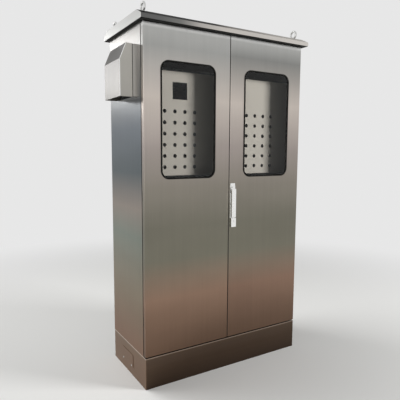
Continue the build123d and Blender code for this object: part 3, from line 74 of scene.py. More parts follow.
def brushed_stainless(name, along, painted_reflection_tones, polish=0.34, across="Z", span=(0.0, 2.0), inner_skin_and_shade="#5E5E5D",
                      rim="#FFFFFF"):
    """Belt-ground AISI 304 sheet, satin; the grain runs on the axis along, the painted reflection tones on
    the axis across.
    """
    material = new_material(name)
    place = add_node(material, "ShaderNodeTexCoord", {}).outputs["Object"]
    # The belt leaves lines about 0.2 mm apart and 150 mm long; they are drawn 1.5 mm apart so that they show.
    line_gap, line_length = 0.0015, 0.15
    line_scale = [1 / line_length if axis == along else 1 / line_gap for axis in "XYZ"]
    line_place = add_node(material, "ShaderNodeMapping", {"Scale": line_scale, "Vector": place})
    lines = add_node(material, "ShaderNodeTexNoise",
                     {"Scale": 1.0, "Detail": 3.0, "Roughness": 0.6, "Vector": line_place.outputs[0]})
    # Wider bands show where the belt pressed more or less.
    band_width, band_length = 0.025, 1.2
    band_scale = [1 / band_length if axis == along else 1 / band_width for axis in "XYZ"]
    band_place = add_node(material, "ShaderNodeMapping", {"Scale": band_scale, "Vector": place})
    bands = add_node(material, "ShaderNodeTexNoise",
                     {"Scale": 1.0, "Detail": 2.0, "Vector": band_place.outputs[0]})
    # The sheet is never quite flat and takes hand marks: patches about 0.5 m wide and 0.2 m high.
    patch_place = add_node(material, "ShaderNodeMapping", {"Scale": (1.0, 1.0, 2.6), "Vector": place})
    patches = add_node(material, "ShaderNodeTexNoise",
                       {"Scale": 2.1, "Detail": 2.0, "Vector": patch_place.outputs[0]})
    axes = add_node(material, "ShaderNodeSeparateXYZ", {"Vector": place})
    # The tones are the steel's grey with painted reflection and shade, set along the axis across.
    level = add_node(material, "ShaderNodeMapRange",
                     {"From Min": span[0], "From Max": span[1], "Value": axes.outputs[across]})
    tone = add_node(material, "ShaderNodeValToRGB", {"Fac": level.outputs[0], "steps": painted_reflection_tones})
    # Only the outside is ground. From 1.5 mm within the walls and doors, and 1 mm below the top, the sheet
    # keeps the mill's duller skin, with painted shade of the dark inside.
    inner_width, inner_depth, inner_top = 0.5485, 0.2335, 1.972
    reach = add_node(material, "ShaderNodeVectorMath", {"operation": "ABSOLUTE", 0: place})
    sides = add_node(material, "ShaderNodeSeparateXYZ", {"Vector": reach.outputs[0]})
    wide = add_node(material, "ShaderNodeMath",
                    {"operation": "LESS_THAN", 0: sides.outputs["X"], 1: inner_width})
    deep = add_node(material, "ShaderNodeMath",
                    {"operation": "LESS_THAN", 0: sides.outputs["Y"], 1: inner_depth})
    under = add_node(material, "ShaderNodeMath",
                     {"operation": "LESS_THAN", 0: sides.outputs["Z"], 1: inner_top})
    walls = add_node(material, "ShaderNodeMath",
                     {"operation": "MULTIPLY", 0: wide.outputs[0], 1: deep.outputs[0]})
    within = add_node(material, "ShaderNodeMath",
                      {"operation": "MULTIPLY", 0: walls.outputs[0], 1: under.outputs[0]})
    skin = add_node(material, "ShaderNodeMixRGB",
                    {"Fac": within.outputs[0], "Color1": tone.outputs["Color"],
                     "Color2": linear_colour(inner_skin_and_shade)})
    line_tone = add_node(material, "ShaderNodeMapRange",
                         {"To Min": 0.92, "To Max": 1.08, "Value": lines.outputs["Fac"]})
    band_tone = add_node(material, "ShaderNodeMapRange",
                         {"To Min": 0.95, "To Max": 1.05, "Value": bands.outputs["Fac"]})
    patch_tone = add_node(material, "ShaderNodeMapRange",
                          {"To Min": 0.9, "To Max": 1.1, "Value": patches.outputs["Fac"]})
    belt_marks = add_node(material, "ShaderNodeMath",
                          {"operation": "MULTIPLY", 0: line_tone.outputs[0], 1: band_tone.outputs[0]})
    all_marks = add_node(material, "ShaderNodeMath",
                         {"operation": "MULTIPLY", 0: belt_marks.outputs[0], 1: patch_tone.outputs[0]})
    shade = add_node(material, "ShaderNodeVectorMath",
                     {"operation": "SCALE", 0: skin.outputs[0], "Scale": all_marks.outputs[0]})
    rough = add_node(material, "ShaderNodeMapRange",
                     {"To Min": polish - 0.07, "To Max": polish + 0.07, "Value": lines.outputs["Fac"]})
    grooves = add_node(material, "ShaderNodeBump",
                       {"Strength": 0.12, "Distance": 0.0004, "Height": lines.outputs["Fac"]})
    waves = add_node(material, "ShaderNodeBump",
                     {"Strength": 0.25, "Distance": 0.004, "Height": patches.outputs["Fac"],
                      "Normal": grooves.outputs[0]})
    turn = add_node(material, "ShaderNodeTangent", {"direction_type": "RADIAL", "axis": "Z"})
    steel = add_node(material, "ShaderNodeBsdfPrincipled",
                     {"Metallic": 1.0, "Anisotropic": 0.6, "Specular Tint": linear_colour(rim),
                      "Base Color": shade.outputs[0], "Roughness": rough.outputs[0],
                      "Normal": waves.outputs[0], "Tangent": turn.outputs[0]})
    add_node(material, "ShaderNodeOutputMaterial", {"Surface": steel.outputs[0]})
    return material


def eased(node, body, material, radius, angle=30):
    """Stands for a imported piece, with the edges rounded whose faces meet at more than angle degrees."""
    mesh = nodes[node].data.copy()
    mesh.name = node + "_eased"
    bm = bmesh.new()
    bm.from_mesh(mesh)
    bmesh.ops.remove_doubles(bm, verts=bm.verts, dist=1e-6)
    bmesh.ops.dissolve_limit(bm, angle_limit=math.radians(1), verts=bm.verts, edges=bm.edges)
    for face in bm.faces:
        face.smooth = True
        face.material_index = 0
    bm.to_mesh(mesh)
    bm.free()
    mesh.materials.clear()
    mesh.materials.append(material)
    piece = bpy.data.objects.new(node + "_eased", mesh)
    bpy.context.scene.collection.objects.link(piece)
    ease = piece.modifiers.new("ease", "BEVEL")
    ease.width = radius
    ease.segments = 3
    ease.limit_method = "ANGLE"
    ease.angle_limit = math.radians(angle)
    even = piece.modifiers.new("even", "WEIGHTED_NORMAL")
    even.weight = 100
    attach(piece, body)
    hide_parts(node)
    return piece


# The plinth's tones, dark and brown low down, are painted reflection, and the band along the top fold is a
# painted highlight, drawn 4 mm high so that it shows.
plinth_tones = [(0.0, "#4E4036"), (0.05, "#5A4A3E"), (0.0875, "#66564A"), (0.0885, "#B7A394")]
plinth_steel = brushed_stainless("brushed_stainless_304_plinth", "X", plinth_tones)
# Its left end takes a lighter copy of the steel as painted reflection, with a brighter painted highlight
# along the top fold.
plinth_end_tones = [(0.0, "#8C7360"), (0.05, "#8E7461"), (0.0875, "#8D7663"), (0.0885, "#E8DDD1")]
lit_plinth_end_steel = brushed_stainless("brushed_stainless_304_plinth_end", "Y", plinth_end_tones)
plinth = eased("plinth", "cabinet", plinth_steel, radius=0.0012)
plinth.data.materials.append(lit_plinth_end_steel)
left_facing = -0.7
for face in plinth.data.polygons:
    if face.normal.x < left_facing:
        face.material_index = 1
eased("plinth_side_cover", "cabinet", lit_plinth_end_steel, radius=0.0008)

# Body: floor, walls, top, front frame and centre post of 2 mm sheet, spot welded from inside. The frame's
# gutter lips stand round each door opening, and the gland plate is screwed over the floor's cable opening.
# Their tones, warm and darker towards the foot and pale towards the top, are painted reflection.
wall_tones = [(0.1, "#7C6B5E"), (0.25, "#8A7E72"), (0.42, "#8F8A80"), (0.6, "#A9A59E"), (0.78, "#C0BCB6"),
              (0.9, "#B4B2AF"), (0.97, "#C2C1BE")]
upright_steel = brushed_stainless("brushed_stainless_304_upright", "Z", wall_tones)


def dress(material, *names):
    """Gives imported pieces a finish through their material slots."""
    for name in names:
        for slot in nodes[name].material_slots:
            slot.material = material


dress(upright_steel, "floor_panel", "right_side_panel", "rear_panel", "top_panel", "front_frame",
      "centre_post", "gland_plate")

# Left wall: the same sheet, cut out for the vent before it is welded in. Its tones are painted reflection and
# shade: warm up to half its height, dull behind the vent and pale at the top.
left_wall_tones = [(0.1, "#92735F"), (0.25, "#948775"), (0.42, "#82897F"), (0.5, "#988E85"), (0.6, "#5F676A"),
                   (0.72, "#757B81"), (0.88, "#A6A5A3"), (0.96, "#CDCBC8")]
left_wall_steel = brushed_stainless("brushed_stainless_304_left_wall", "Z", left_wall_tones)
dress(left_wall_steel, "left_side_panel")

# Roof: a tray folded from stainless sheet, bevelled at front and rear, with its foot turned in as a seat. Its
# grain runs the long way of the sheet, and the end flaps are welded and ground at the bevels.
# The roof's tones along its length are painted reflection; its ends, fascias and slopes take lighter and
# darker copies of the steel by their facing, as painted reflection and shade.
roof_span = (-0.575, 0.575)
roof_tones = [(0.0, "#8C8C8A"), (0.3, "#A09F9C"), (1.0, "#BAB8B4")]
roof_steel = brushed_stainless("brushed_stainless_304_roof", "X", roof_tones, polish=0.38, across="X",
                               span=roof_span)
fascia_tones = [(0.0, "#6A6A69"), (0.1, "#6E6E6D"), (0.2, "#82827F"), (0.31, "#BFBBB6"), (0.45, "#D3CEC8"),
                (1.0, "#E0DBD5")]
fascia_steel = brushed_stainless("brushed_stainless_304_fascia", "X", fascia_tones, polish=0.38, across="X",
                                 span=roof_span)
# The slopes above the rim are seen very flat, and keep a duller sheen there than bare metal would.
slope_tones = [(0.0, "#606060"), (0.1, "#626261"), (0.25, "#5E5E5C"), (0.39, "#626260"), (0.48, "#CFCAC4"),
               (1.0, "#F2EEE8")]
slope_steel = brushed_stainless("brushed_stainless_304_roof_slope", "X", slope_tones, polish=0.38, across="X",
                                span=roof_span, rim="#606060")
roof_end_tones = [(0.0, "#CBCBC9"), (1.0, "#D6D6D4")]
lit_roof_end_steel = brushed_stainless("brushed_stainless_304_roof_end", "Y", roof_end_tones)
roof = eased("roof_canopy", "cabinet", roof_steel, radius=0.0015)
roof.data.materials.append(lit_roof_end_steel)
roof.data.materials.append(fascia_steel)
roof.data.materials.append(slope_steel)
end_facing, fascia_facing, slope_facing = 0.7, 0.95, 0.4
for face in roof.data.polygons:
    if abs(face.normal.x) > end_facing:
        face.material_index = 1
    elif abs(face.normal.y) > fascia_facing:
        face.material_index = 2
    elif abs(face.normal.y) > slope_facing:
        face.material_index = 3


# Roof strip: solid EPDM rubber, extruded in one length and laid under the roof's rim. Rubber is nearly black
# and matt, with a chalky grain of about 1 mm from its talc.
def black_rubber(name, code, rough, grain_size):
    """Black rubber or foam; grain_size is in metres."""
    material = new_material(name)
    place = add_node(material, "ShaderNodeTexCoord", {}).outputs["Object"]
    grain = add_node(material, "ShaderNodeTexNoise",
                     {"Scale": 1 / grain_size, "Detail": 3.0, "Vector": place})
    shade = add_node(material, "ShaderNodeValToRGB",
                     {"Fac": grain.outputs["Fac"], "steps": [(0.3, code), (0.75, "#1B1A18")]})
    matt = add_node(material, "ShaderNodeMapRange",
                    {"To Min": rough - 0.08, "To Max": rough + 0.08, "Value": grain.outputs["Fac"]})
    relief = add_node(material, "ShaderNodeBump",
                      {"Strength": 0.2, "Distance": 0.0003, "Height": grain.outputs["Fac"]})
    rubber = add_node(material, "ShaderNodeBsdfPrincipled",
                      {"Specular IOR Level": 0.2, "Base Color": shade.outputs["Color"],
                       "Roughness": matt.outputs[0], "Normal": relief.outputs[0]})
    add_node(material, "ShaderNodeOutputMaterial", {"Surface": rubber.outputs[0]})
    return material


seal_rubber = black_rubber("extruded_epdm_rubber", "#0E0D0C", 0.7, grain_size=0.0012)
dress(seal_rubber, "roof_gasket")

# Fasteners, hinges and rods: turned, stamped or drawn steel with bright zinc plating. It leaves a faint
# blue-white bloom, in patches 5 to 6 mm wide.
zinc = new_material("zinc_plated_steel")
zinc_place = add_node(zinc, "ShaderNodeTexCoord", {}).outputs["Object"]
zinc_bloom = add_node(zinc, "ShaderNodeTexNoise", {"Scale": 180.0, "Detail": 4.0, "Vector": zinc_place})
zinc_shade = add_node(zinc, "ShaderNodeValToRGB",
                      {"Fac": zinc_bloom.outputs["Fac"], "steps": [(0.3, "#C0C2C3"), (0.7, "#D6D7D5")]})
zinc_rough = add_node(zinc, "ShaderNodeMapRange",
                      {"To Min": 0.26, "To Max": 0.44, "Value": zinc_bloom.outputs["Fac"]})
zinc_skin = add_node(zinc, "ShaderNodeBsdfPrincipled",
                     {"Metallic": 1.0, "Base Color": zinc_shade.outputs["Color"],
                      "Roughness": zinc_rough.outputs[0]})
add_node(zinc, "ShaderNodeOutputMaterial", {"Surface": zinc_skin.outputs[0]})
dress(zinc, "plinth_cover_screws", "plinth_bolts", "gland_screws", "panel_screws", "plate_bolts")
dress(zinc, "roof_spacers", "lifting_plates", "lifting_nuts")
dress(zinc, "hinge_arms", "hinge_screws", "left_hinge_brackets", "right_hinge_brackets", "left_hinge_pins",
      "right_hinge_pins")
dress(zinc, "lever_pin", "latch_cam", "upper_latch_rod", "lower_latch_rod", "rod_guides", "rod_keepers",
      "left_door_top_bolt", "left_door_foot_bolt", "bolt_guides")

# Lifting eyes: ring, collar and shank drop forged in one, held by a nut and a washer plate under the top.
# They are polished, with a haze in patches 3 mm wide, and so brighter than the brushed sheet.
eye_steel = new_material("polished_forged_steel")
eye_place = add_node(eye_steel, "ShaderNodeTexCoord", {}).outputs["Object"]
eye_haze = add_node(eye_steel, "ShaderNodeTexNoise", {"Scale": 300.0, "Detail": 3.0, "Vector": eye_place})
eye_shade = add_node(eye_steel, "ShaderNodeValToRGB",
                     {"Fac": eye_haze.outputs["Fac"], "steps": [(0.3, "#C6C6C4"), (0.7, "#DADAD8")]})
eye_skin = add_node(eye_steel, "ShaderNodeBsdfPrincipled",
                    {"Metallic": 1.0, "Roughness": 0.28, "Base Color": eye_shade.outputs["Color"]})
add_node(eye_steel, "ShaderNodeOutputMaterial", {"Surface": eye_skin.outputs[0]})
dress(eye_steel, "lifting_eye_bolts")

# Mounting plate and panel rails: hot-dip galvanised sheet, cut and folded. Its zinc sets in crystals about
# 10 mm across, each with its own grey and its own sheen.
galvanised = new_material("galvanised_sheet")
crystal_size = 0.010
galvanised_place = add_node(galvanised, "ShaderNodeTexCoord", {}).outputs["Object"]
crystals = add_node(galvanised, "ShaderNodeTexVoronoi",
                    {"Scale": 1 / crystal_size, "Vector": galvanised_place})
galvanised_shade = add_node(galvanised, "ShaderNodeValToRGB",
                            {"Fac": crystals.outputs["Color"], "steps": [(0.1, "#787C7D"), (0.9, "#969999")]})
galvanised_rough = add_node(galvanised, "ShaderNodeMapRange",
                            {"To Min": 0.3, "To Max": 0.5, "Value": crystals.outputs["Color"]})
galvanised_skin = add_node(galvanised, "ShaderNodeBsdfPrincipled",
                           {"Metallic": 1.0, "Base Color": galvanised_shade.outputs["Color"],
                            "Roughness": galvanised_rough.outputs[0]})
add_node(galvanised, "ShaderNodeOutputMaterial", {"Surface": galvanised_skin.outputs[0]})
dress(galvanised, "mounting_plate", "panel_rails")

# Instrument panels: trays of 2 mm steel, laser cut, folded and screwed to the rails. They are powder coated
# in a warm grey, which bakes to an orange-peel skin with dimples 2 mm apart.
powder = new_material("powder_coated_steel")
peel_size = 0.002
powder_place = add_node(powder, "ShaderNodeTexCoord", {}).outputs["Object"]
peel = add_node(powder, "ShaderNodeTexNoise", {"Scale": 1 / peel_size, "Detail": 2.0, "Vector": powder_place})
powder_shade = add_node(powder, "ShaderNodeValToRGB",
                        {"Fac": peel.outputs["Fac"], "steps": [(0.3, "#E2D8CE"), (0.7, "#EBE2D8")]})
powder_relief = add_node(powder, "ShaderNodeBump",
                         {"Strength": 0.15, "Distance": 0.0004, "Height": peel.outputs["Fac"]})
powder_skin = add_node(powder, "ShaderNodeBsdfPrincipled",
                       {"Roughness": 0.42, "Base Color": powder_shade.outputs["Color"],
                        "Normal": powder_relief.outputs[0]})
add_node(powder, "ShaderNodeOutputMaterial", {"Surface": powder_skin.outputs[0]})
dress(powder, "left_instrument_panel", "right_instrument_panel")


# Doors: pans folded from the same brushed sheet, with upright grain, on hidden hinges. The two leaves differ
# a little in painted reflection low down and near the top.
def door_steel(side, low, upper):
    """The sheet of one leaf: painted reflection in ten steps from foot to top, with a painted highlight along
    the top fold.
    """
    painted_reflection_tones = [(0.1, "#7C6454"), (0.25, low), (0.36, "#7D7A6D"), (0.45, "#7C796D"), (0.56, "#908A80"),
             (0.67, "#ADA39D"), (0.8, "#D3C9C0"), (0.93, upper), (0.973, "#BABAB7"), (0.985, "#FAFAF8")]
    return brushed_stainless("brushed_stainless_304_" + side + "_door", "Z", painted_reflection_tones, inner_skin_and_shade="#94938F")


dress(door_steel("left", "#9C806E", "#ADADAA"), "left_door")
dress(door_steel("right", "#8F7464", "#949491"), "right_door")


# Window seals: one length of rubber per window, joined at the foot. It grips the door's cut edge outside and
# the glass inside, and a filler strip pressed into its face spreads the lips.
def rubber_ring(name, body, material, centre, size, corner, band, front, depth, rounding, groove=0.0):
    """A closed upright ring with rounded corners and edges; groove sinks the middle of its face."""
    bm = bmesh.new()
    upright = Matrix.Translation((centre[0], front, centre[1])) @ Matrix.Rotation(math.radians(90), 4, "X")
    bmesh.ops.create_grid(bm, x_segments=1, y_segments=1, size=0.5,
                          matrix=upright @ Matrix.Diagonal((size[0], size[1], 1, 1)))
    bmesh.ops.bevel(bm, geom=bm.verts[:], offset=corner, offset_type="OFFSET", segments=14, profile=0.5,
                    affect="VERTICES", material=-1)
    ring = bmesh.ops.inset_region(bm, faces=bm.faces[:], thickness=band, use_even_offset=True,
                                  use_boundary=True)["faces"]
    bmesh.ops.delete(bm, geom=[face for face in bm.faces if face not in ring], context="FACES")
    back = bmesh.ops.extrude_face_region(bm, geom=bm.faces[:], use_keep_orig=True)["geom"]
    bmesh.ops.translate(bm, verts=[part for part in back if isinstance(part, bmesh.types.BMVert)],
                        vec=(0, depth, 0))
    bmesh.ops.recalc_face_normals(bm, faces=bm.faces)
    if groove:
        lip_share = 0.3
        front_faces = [face for face in bm.faces if abs(face.calc_center_median().y - front) < 1e-6]
        bmesh.ops.inset_region(bm, faces=front_faces, thickness=band * lip_share, use_even_offset=True)
        bmesh.ops.translate(bm, verts=list({vert for face in front_faces for vert in face.verts}),
                            vec=(0, groove, 0))
    sharp = [edge for edge in bm.edges if edge.is_manifold and edge.calc_face_angle() > math.radians(50)]
    bmesh.ops.bevel(bm, geom=sharp, offset=rounding, offset_type="OFFSET", segments=3, profile=0.5,
                    affect="EDGES", material=-1, clamp_overlap=True)
    for face in bm.faces:
        face.smooth = True
    mesh = bpy.data.meshes.new(name)
    bm.to_mesh(mesh)
    bm.free()
    mesh.materials.append(material)
    piece = bpy.data.objects.new(name, mesh)
    bpy.context.scene.collection.objects.link(piece)
    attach(piece, body)
    return piece


for side, window_x in (("left", -0.27625), ("right", 0.27625)):
    seal = rubber_ring(side + "_seal", side + "_door_leaf", seal_rubber, centre=(window_x, 1.479),
                       size=(0.350, 0.628), corner=0.050, band=0.009, front=-0.238, depth=0.010,
                       rounding=0.0012, groove=0.0008)
    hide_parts(side + "_window_seal")

# Window glass: 5 mm toughened float, clear with the faint green of its iron, held by the seal. Its real IOR
# is 1.52; 1.25 keeps the pale surround faint in the pane, so that the panel behind stays in view.
glass = new_material("toughened_float_glass")
glass_tint = linear_colour("#F6F7F6")
glass_rays = add_node(glass, "ShaderNodeLightPath", {})
glass_body = add_node(glass, "ShaderNodeBsdfPrincipled",
                      {"Base Color": glass_tint, "Roughness": 0.01, "IOR": 1.25, "Transmission Weight": 1.0})
# Rays from lamps pass the pane unbent, and soft light passes it dimmed, so that the panel behind is lit.
glass_open = add_node(glass, "ShaderNodeBsdfTransparent", {"Color": glass_tint})
glass_lit = add_node(glass, "ShaderNodeMixShader",
                     {"Fac": glass_rays.outputs["Is Shadow Ray"], 1: glass_body.outputs[0],
                      2: glass_open.outputs[0]})
glass_dimmed = add_node(glass, "ShaderNodeBsdfTransparent", {"Color": linear_colour("#A4A6A4")})
glass_seen = add_node(glass, "ShaderNodeMixShader",
                      {"Fac": glass_rays.outputs["Is Diffuse Ray"], 1: glass_lit.outputs[0],
                       2: glass_dimmed.outputs[0]})
add_node(glass, "ShaderNodeOutputMaterial", {"Surface": glass_seen.outputs[0]})
dress(glass, "left_window_glass", "right_window_glass")

# Door gaskets: foamed polyurethane, laid as a soft rope that closes on the gutter lips. Its open skin has
# pores of about 0.5 mm, drawn 3 mm wide so that they show. The gland plate lies on the same foam.
foam = black_rubber("foamed_polyurethane", "#1A1A1A", 0.8, grain_size=0.003)
for side, leaf_x in (("left", -0.267), ("right", 0.267)):
    rope = rubber_ring(side + "_foam", side + "_door_leaf", foam, centre=(leaf_x, 1.0795),
                       size=(0.452, 1.707), corner=0.010, band=0.012, front=-0.233, depth=0.0117,
                       rounding=0.003)
    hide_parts(side + "_door_gasket")
dress(foam, "gland_gasket")

# Swing handle: zinc die castings, linished and plated in satin chrome, which is nearly white with a soft
# sheen. The hub turns in the tray, the lever lifts on the hub's cross pin, and the key barrel sits in the
# tray's foot. Its haze lies in patches 4 mm wide.
chrome = new_material("satin_chrome_plate")
haze_size = 0.004
chrome_place = add_node(chrome, "ShaderNodeTexCoord", {}).outputs["Object"]
chrome_haze = add_node(chrome, "ShaderNodeTexNoise",
                       {"Scale": 1 / haze_size, "Detail": 2.0, "Vector": chrome_place})
chrome_shade = add_node(chrome, "ShaderNodeValToRGB",
                        {"Fac": chrome_haze.outputs["Fac"], "steps": [(0.3, "#F7F7F5"), (0.7, "#FCFCFA")]})
chrome_rough = add_node(chrome, "ShaderNodeMapRange",
                        {"To Min": 0.24, "To Max": 0.3, "Value": chrome_haze.outputs["Fac"]})
chrome_skin = add_node(chrome, "ShaderNodeBsdfPrincipled",
                       {"Metallic": 1.0, "Base Color": chrome_shade.outputs["Color"],
                        "Roughness": chrome_rough.outputs[0]})
add_node(chrome, "ShaderNodeOutputMaterial", {"Surface": chrome_skin.outputs[0]})
eased("handle_base", "right_door_leaf", chrome, radius=0.0006)
eased("handle_hub", "handle_spindle", chrome, radius=0.0005)
eased("handle_lever", "swing_lever", chrome, radius=0.0016)
eased("lock_barrel", "key_lock", chrome, radius=0.0003)

# Vent frame: a shallow box of brushed sheet, open through, round the left wall's opening. Its tones, lighter
# towards the top, are painted reflection.
frame_tones = [(0.8, "#A6A49F"), (0.92, "#B5B2AD")]
frame_steel = brushed_stainless("brushed_stainless_304_vent_frame", "Z", frame_tones)
vent_frame = eased("vent_frame", "cabinet", frame_steel, radius=0.0012)
vent_frame.data.materials.append(seal_rubber)
# The collar that the hood slips over takes the black rubber as painted shade, so the joint shows as a dark
# line.
joint_shade_outer_x, joint_shade_inner_x = -0.5905, -0.5845
for face in vent_frame.data.polygons:
    if joint_shade_outer_x < face.center.x < joint_shade_inner_x:
        face.material_index = 1

# Rain hood: top, sloping brow and front folded from one brushed sheet, open below and towards the wall, with
# cheeks welded on. Brow and front meet at 23 degrees, so shallower folds are eased here than elsewhere.
# The hood's tones are painted reflection; its front and brow take darker copies of the steel by their facing,
# as painted shade and reflection.
hood_tones = [(0.8, "#ACA9A2"), (0.92, "#BAB7B0")]
hood_face_tones = [(0.8, "#8C8A87"), (0.92, "#7C7A79")]
hood_brow_tones = [(0.88, "#6F6D6A"), (0.93, "#605E5B")]
seam_highlight_tones = [(0.8, "#F2F2F0"), (0.92, "#F2F2F0")]
hood_steel = brushed_stainless("brushed_stainless_304_hood", "Z", hood_tones)
shaded_hood_face_steel = brushed_stainless("brushed_stainless_304_hood_face", "Z", hood_face_tones)
shaded_hood_brow_steel = brushed_stainless("brushed_stainless_304_hood_brow", "Z", hood_brow_tones)
seam_highlight_steel = brushed_stainless("painted_seam_highlight_304", "Z", seam_highlight_tones, polish=0.3)
hood = eased("vent_hood", "cabinet", hood_steel, radius=0.0014, angle=15)
for finish in (shaded_hood_face_steel, shaded_hood_brow_steel, seam_highlight_steel):
    hood.data.materials.append(finish)
front_facing, brow_facing, cheek_facing = -0.97, -0.4, 0.9
for face in hood.data.polygons:
    if face.normal.x < front_facing:
        face.material_index = 1
    elif face.normal.x < brow_facing:
        face.material_index = 2
# Along the seams of the cheeks with front and brow a painted highlight is drawn, 4 mm wide so that it shows.
seam_width, seams_from_x = 0.004, -0.635
hood_middle_y, cheek_reach, cheek_area = -0.074, 0.1085, 0.005
bm = bmesh.new()
bm.from_mesh(hood.data)
cheeks = [face for face in bm.faces if abs(face.normal.y) > cheek_facing and face.calc_area() > cheek_area
          and abs(face.calc_center_median().y - hood_middle_y) > cheek_reach]
seam_highlights = bmesh.ops.inset_individual(bm, faces=cheeks, thickness=seam_width, use_even_offset=True)["faces"]
for face in seam_highlights:
    if face.calc_center_median().x < seams_from_x:
        face.material_index = 3
bm.to_mesh(hood.data)
bm.free()

# Filter mat: a pad of bonded polyester fleece, off-white and quite matt, held inside the vent frame by the
# grille. Its fibres are some 0.03 mm thick, and their tangle is drawn 1.4 mm coarse so that it shows.
fleece = new_material("polyester_filter_fleece")
fleece_place = add_node(fleece, "ShaderNodeTexCoord", {}).outputs["Object"]
fibres = add_node(fleece, "ShaderNodeTexNoise",
                  {"Scale": 700.0, "Detail": 6.0, "Roughness": 0.8, "Vector": fleece_place})
fleece_shade = add_node(fleece, "ShaderNodeValToRGB",
                        {"Fac": fibres.outputs["Fac"], "steps": [(0.3, "#C9C9C4"), (0.7, "#E6E6E1")]})
fleece_relief = add_node(fleece, "ShaderNodeBump",
                         {"Strength": 0.6, "Distance": 0.0015, "Height": fibres.outputs["Fac"]})
fleece_skin = add_node(fleece, "ShaderNodeBsdfPrincipled",
                       {"Roughness": 0.95, "Base Color": fleece_shade.outputs["Color"],
                        "Normal": fleece_relief.outputs[0]})
add_node(fleece, "ShaderNodeOutputMaterial", {"Surface": fleece_skin.outputs[0]})
dress(fleece, "filter_mat")


# Grille and fan: a clip-in grille, a fan housing and a rotor, injection moulded in glass-filled nylon. The
# plastic has an even colour and a spark-eroded texture about 1 mm coarse.
def moulded_plastic(name, dark, pale):
    """Moulded nylon with a fine texture between two near colours."""
    material = new_material(name)
    spark_size = 0.0009
    place = add_node(material, "ShaderNodeTexCoord", {}).outputs["Object"]
    spark = add_node(material, "ShaderNodeTexNoise",
                     {"Scale": 1 / spark_size, "Detail": 2.0, "Vector": place})
    shade = add_node(material, "ShaderNodeValToRGB",
                     {"Fac": spark.outputs["Fac"], "steps": [(0.3, dark), (0.7, pale)]})
    relief = add_node(material, "ShaderNodeBump",
                      {"Strength": 0.2, "Distance": 0.0002, "Height": spark.outputs["Fac"]})
    plastic = add_node(material, "ShaderNodeBsdfPrincipled",
                       {"Roughness": 0.5, "Base Color": shade.outputs["Color"], "Normal": relief.outputs[0]})
    add_node(material, "ShaderNodeOutputMaterial", {"Surface": plastic.outputs[0]})
    return material


dress(moulded_plastic("moulded_nylon_grey", "#7E807E", "#8C8E8B"), "filter_grille")
dress(moulded_plastic("moulded_nylon_black", "#17181A", "#222324"), "fan_housing", "fan_rotor")

# Fan guard: rings of steel wire, welded on a cross of bars that spans the fan's inner side. It is zinc plated
# as the fasteners are.
dress(zinc, "fan_guard")

# Studio floor: a pale matt sheet, 60 m square, that keeps the object's shadow. It runs into the pale surround
# between 1.4 and 4.1 m from the middle, without a line.
floor_mesh = bpy.data.meshes.new("studio_floor")
bm = bmesh.new()
bmesh.ops.create_grid(bm, x_segments=1, y_segments=1, size=30.0)
bm.to_mesh(floor_mesh)
bm.free()
floor = bpy.data.objects.new("studio_floor", floor_mesh)
bpy.context.scene.collection.objects.link(floor)
floor_paint = new_material("studio_floor_paint")
pale_strength = 0.8
floor_skin = add_node(floor_paint, "ShaderNodeBsdfPrincipled",
                      {"Base Color": linear_colour("#E6E6E4"), "Roughness": 0.9, "Specular IOR Level": 0.1})
floor_place = add_node(floor_paint, "ShaderNodeTexCoord", {}).outputs["Object"]
floor_reach = add_node(floor_paint, "ShaderNodeVectorMath", {"operation": "LENGTH", 0: floor_place})
floor_fade = add_node(floor_paint, "ShaderNodeMapRange",
                      {"interpolation_type": "SMOOTHSTEP", "From Min": 1.4, "From Max": 4.1,
                       "Value": floor_reach.outputs["Value"]})
floor_rays = add_node(floor_paint, "ShaderNodeLightPath", {})
floor_seen = add_node(floor_paint, "ShaderNodeMath",
                      {"operation": "MAXIMUM", 0: floor_rays.outputs["Is Camera Ray"],
                       1: floor_rays.outputs["Is Transmission Ray"]})
floor_shown = add_node(floor_paint, "ShaderNodeMath",
                       {"operation": "MAXIMUM", 0: floor_seen.outputs[0],
                        1: floor_rays.outputs["Is Glossy Ray"]})
floor_share = add_node(floor_paint, "ShaderNodeMath",
                       {"operation": "MULTIPLY", 0: floor_fade.outputs[0], 1: floor_shown.outputs[0]})
floor_pale = add_node(floor_paint, "ShaderNodeEmission",
                      {"Color": linear_colour("#FFFFFF"), "Strength": pale_strength})
floor_mix = add_node(floor_paint, "ShaderNodeMixShader",
                     {"Fac": floor_share.outputs[0], 1: floor_skin.outputs[0], 2: floor_pale.outputs[0]})
add_node(floor_paint, "ShaderNodeOutputMaterial", {"Surface": floor_mix.outputs[0]})
floor_mesh.materials.append(floor_paint)

# Studio surround: plain and pale where the camera, metal or glass looks at it. As a light it is much weaker,
# so that the softboxes model the cabinet.
world = bpy.data.worlds.new("studio")
bpy.context.scene.world = world
world.use_nodes = True
world.node_tree.nodes.clear()
rays = add_node(world, "ShaderNodeLightPath", {})
seen = add_node(world, "ShaderNodeMath",
                {"operation": "MAXIMUM", 0: rays.outputs["Is Camera Ray"],
                 1: rays.outputs["Is Transmission Ray"]})
shown = add_node(world, "ShaderNodeMath",
                 {"operation": "MAXIMUM", 0: seen.outputs[0], 1: rays.outputs["Is Glossy Ray"]})
soft = add_node(world, "ShaderNodeBackground", {"Color": linear_colour("#FFFFFF"), "Strength": 0.14})
pale = add_node(world, "ShaderNodeBackground", {"Color": linear_colour("#FFFFFF"), "Strength": pale_strength})
surround = add_node(world, "ShaderNodeMixShader",
                    {"Fac": shown.outputs[0], 1: soft.outputs[0], 2: pale.outputs[0]})
add_node(world, "ShaderNodeOutputWorld", {"Surface": surround.outputs[0]})


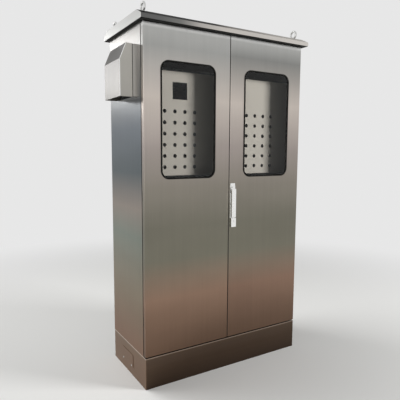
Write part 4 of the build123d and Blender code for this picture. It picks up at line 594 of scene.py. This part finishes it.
# Softboxes: four large lamps that stand round the cabinet. Key and top lamp stay out of metal and glass, and
# the left edge lamp gives only a highlight along the steel.
def soft_lamp(name, place, aim, size, power, glossy=True, matte=True):
    """A softbox turned to a spot on the cabinet; it can be kept out of metal and glass, or off matt skins."""
    data = bpy.data.lights.new(name, "AREA")
    data.shape = "RECTANGLE"
    data.size, data.size_y = size
    data.energy = power
    lamp = bpy.data.objects.new(name, data)
    lamp.location = place
    lamp.rotation_mode = "QUATERNION"
    lamp.rotation_quaternion = (Vector(aim) - Vector(place)).to_track_quat("-Z", "Y")
    lamp.visible_glossy = glossy
    lamp.visible_transmission = glossy
    lamp.visible_diffuse = matte
    bpy.context.scene.collection.objects.link(lamp)


soft_lamp("right_key_softbox", place=(3.9, -3.6, 2.9), aim=(0, -0.2, 1.3), size=(1.8, 1.2), power=266,
          glossy=False)
soft_lamp("left_rear_softbox", place=(-2.3, 3.1, 2.4), aim=(-0.6, 0, 1.7), size=(1.1, 0.8), power=12)
soft_lamp("left_edge_softbox", place=(-4.5, -2.9, 1.8), aim=(0, 0, 1.3), size=(2.6, 3.6), power=38,
          matte=False)
soft_lamp("top_softbox", place=(-1.6, 1.4, 4.0), aim=(-0.4, 0, 0.6), size=(2.5, 2.5), power=120,
          glossy=False)

# Camera: it stands front left of the cabinet, at the viewpoint fitted to its edges. Focal length and picture
# centre are in pixels of the 400-pixel frame.
picture, focal, centre_x, centre_y = 400.0, 419.040, 181.186, 199.762
viewpoint = (-1.4749, -2.2326, 1.3029)
right = Vector((0.86692, -0.49845, 0.00013))
forward = Vector((0.49550, 0.86175, -0.10894))
up = Vector((0.05419, 0.09450, 0.99405))
camera_data = bpy.data.cameras.new("photo_view")
camera_data.sensor_width = 36.0
camera_data.lens = focal * camera_data.sensor_width / picture
camera_data.shift_x = (picture / 2 - centre_x) / picture
camera_data.shift_y = (centre_y - picture / 2) / picture
camera_data.clip_start, camera_data.clip_end = 0.05, 100.0
camera = bpy.data.objects.new("photo_view", camera_data)
camera.matrix_world = (Matrix.Translation(viewpoint)
                       @ Matrix((right, up, -forward)).transposed().to_4x4())
bpy.context.scene.collection.objects.link(camera)
bpy.context.scene.camera = camera
bpy.context.scene.view_settings.view_transform = "Standard"
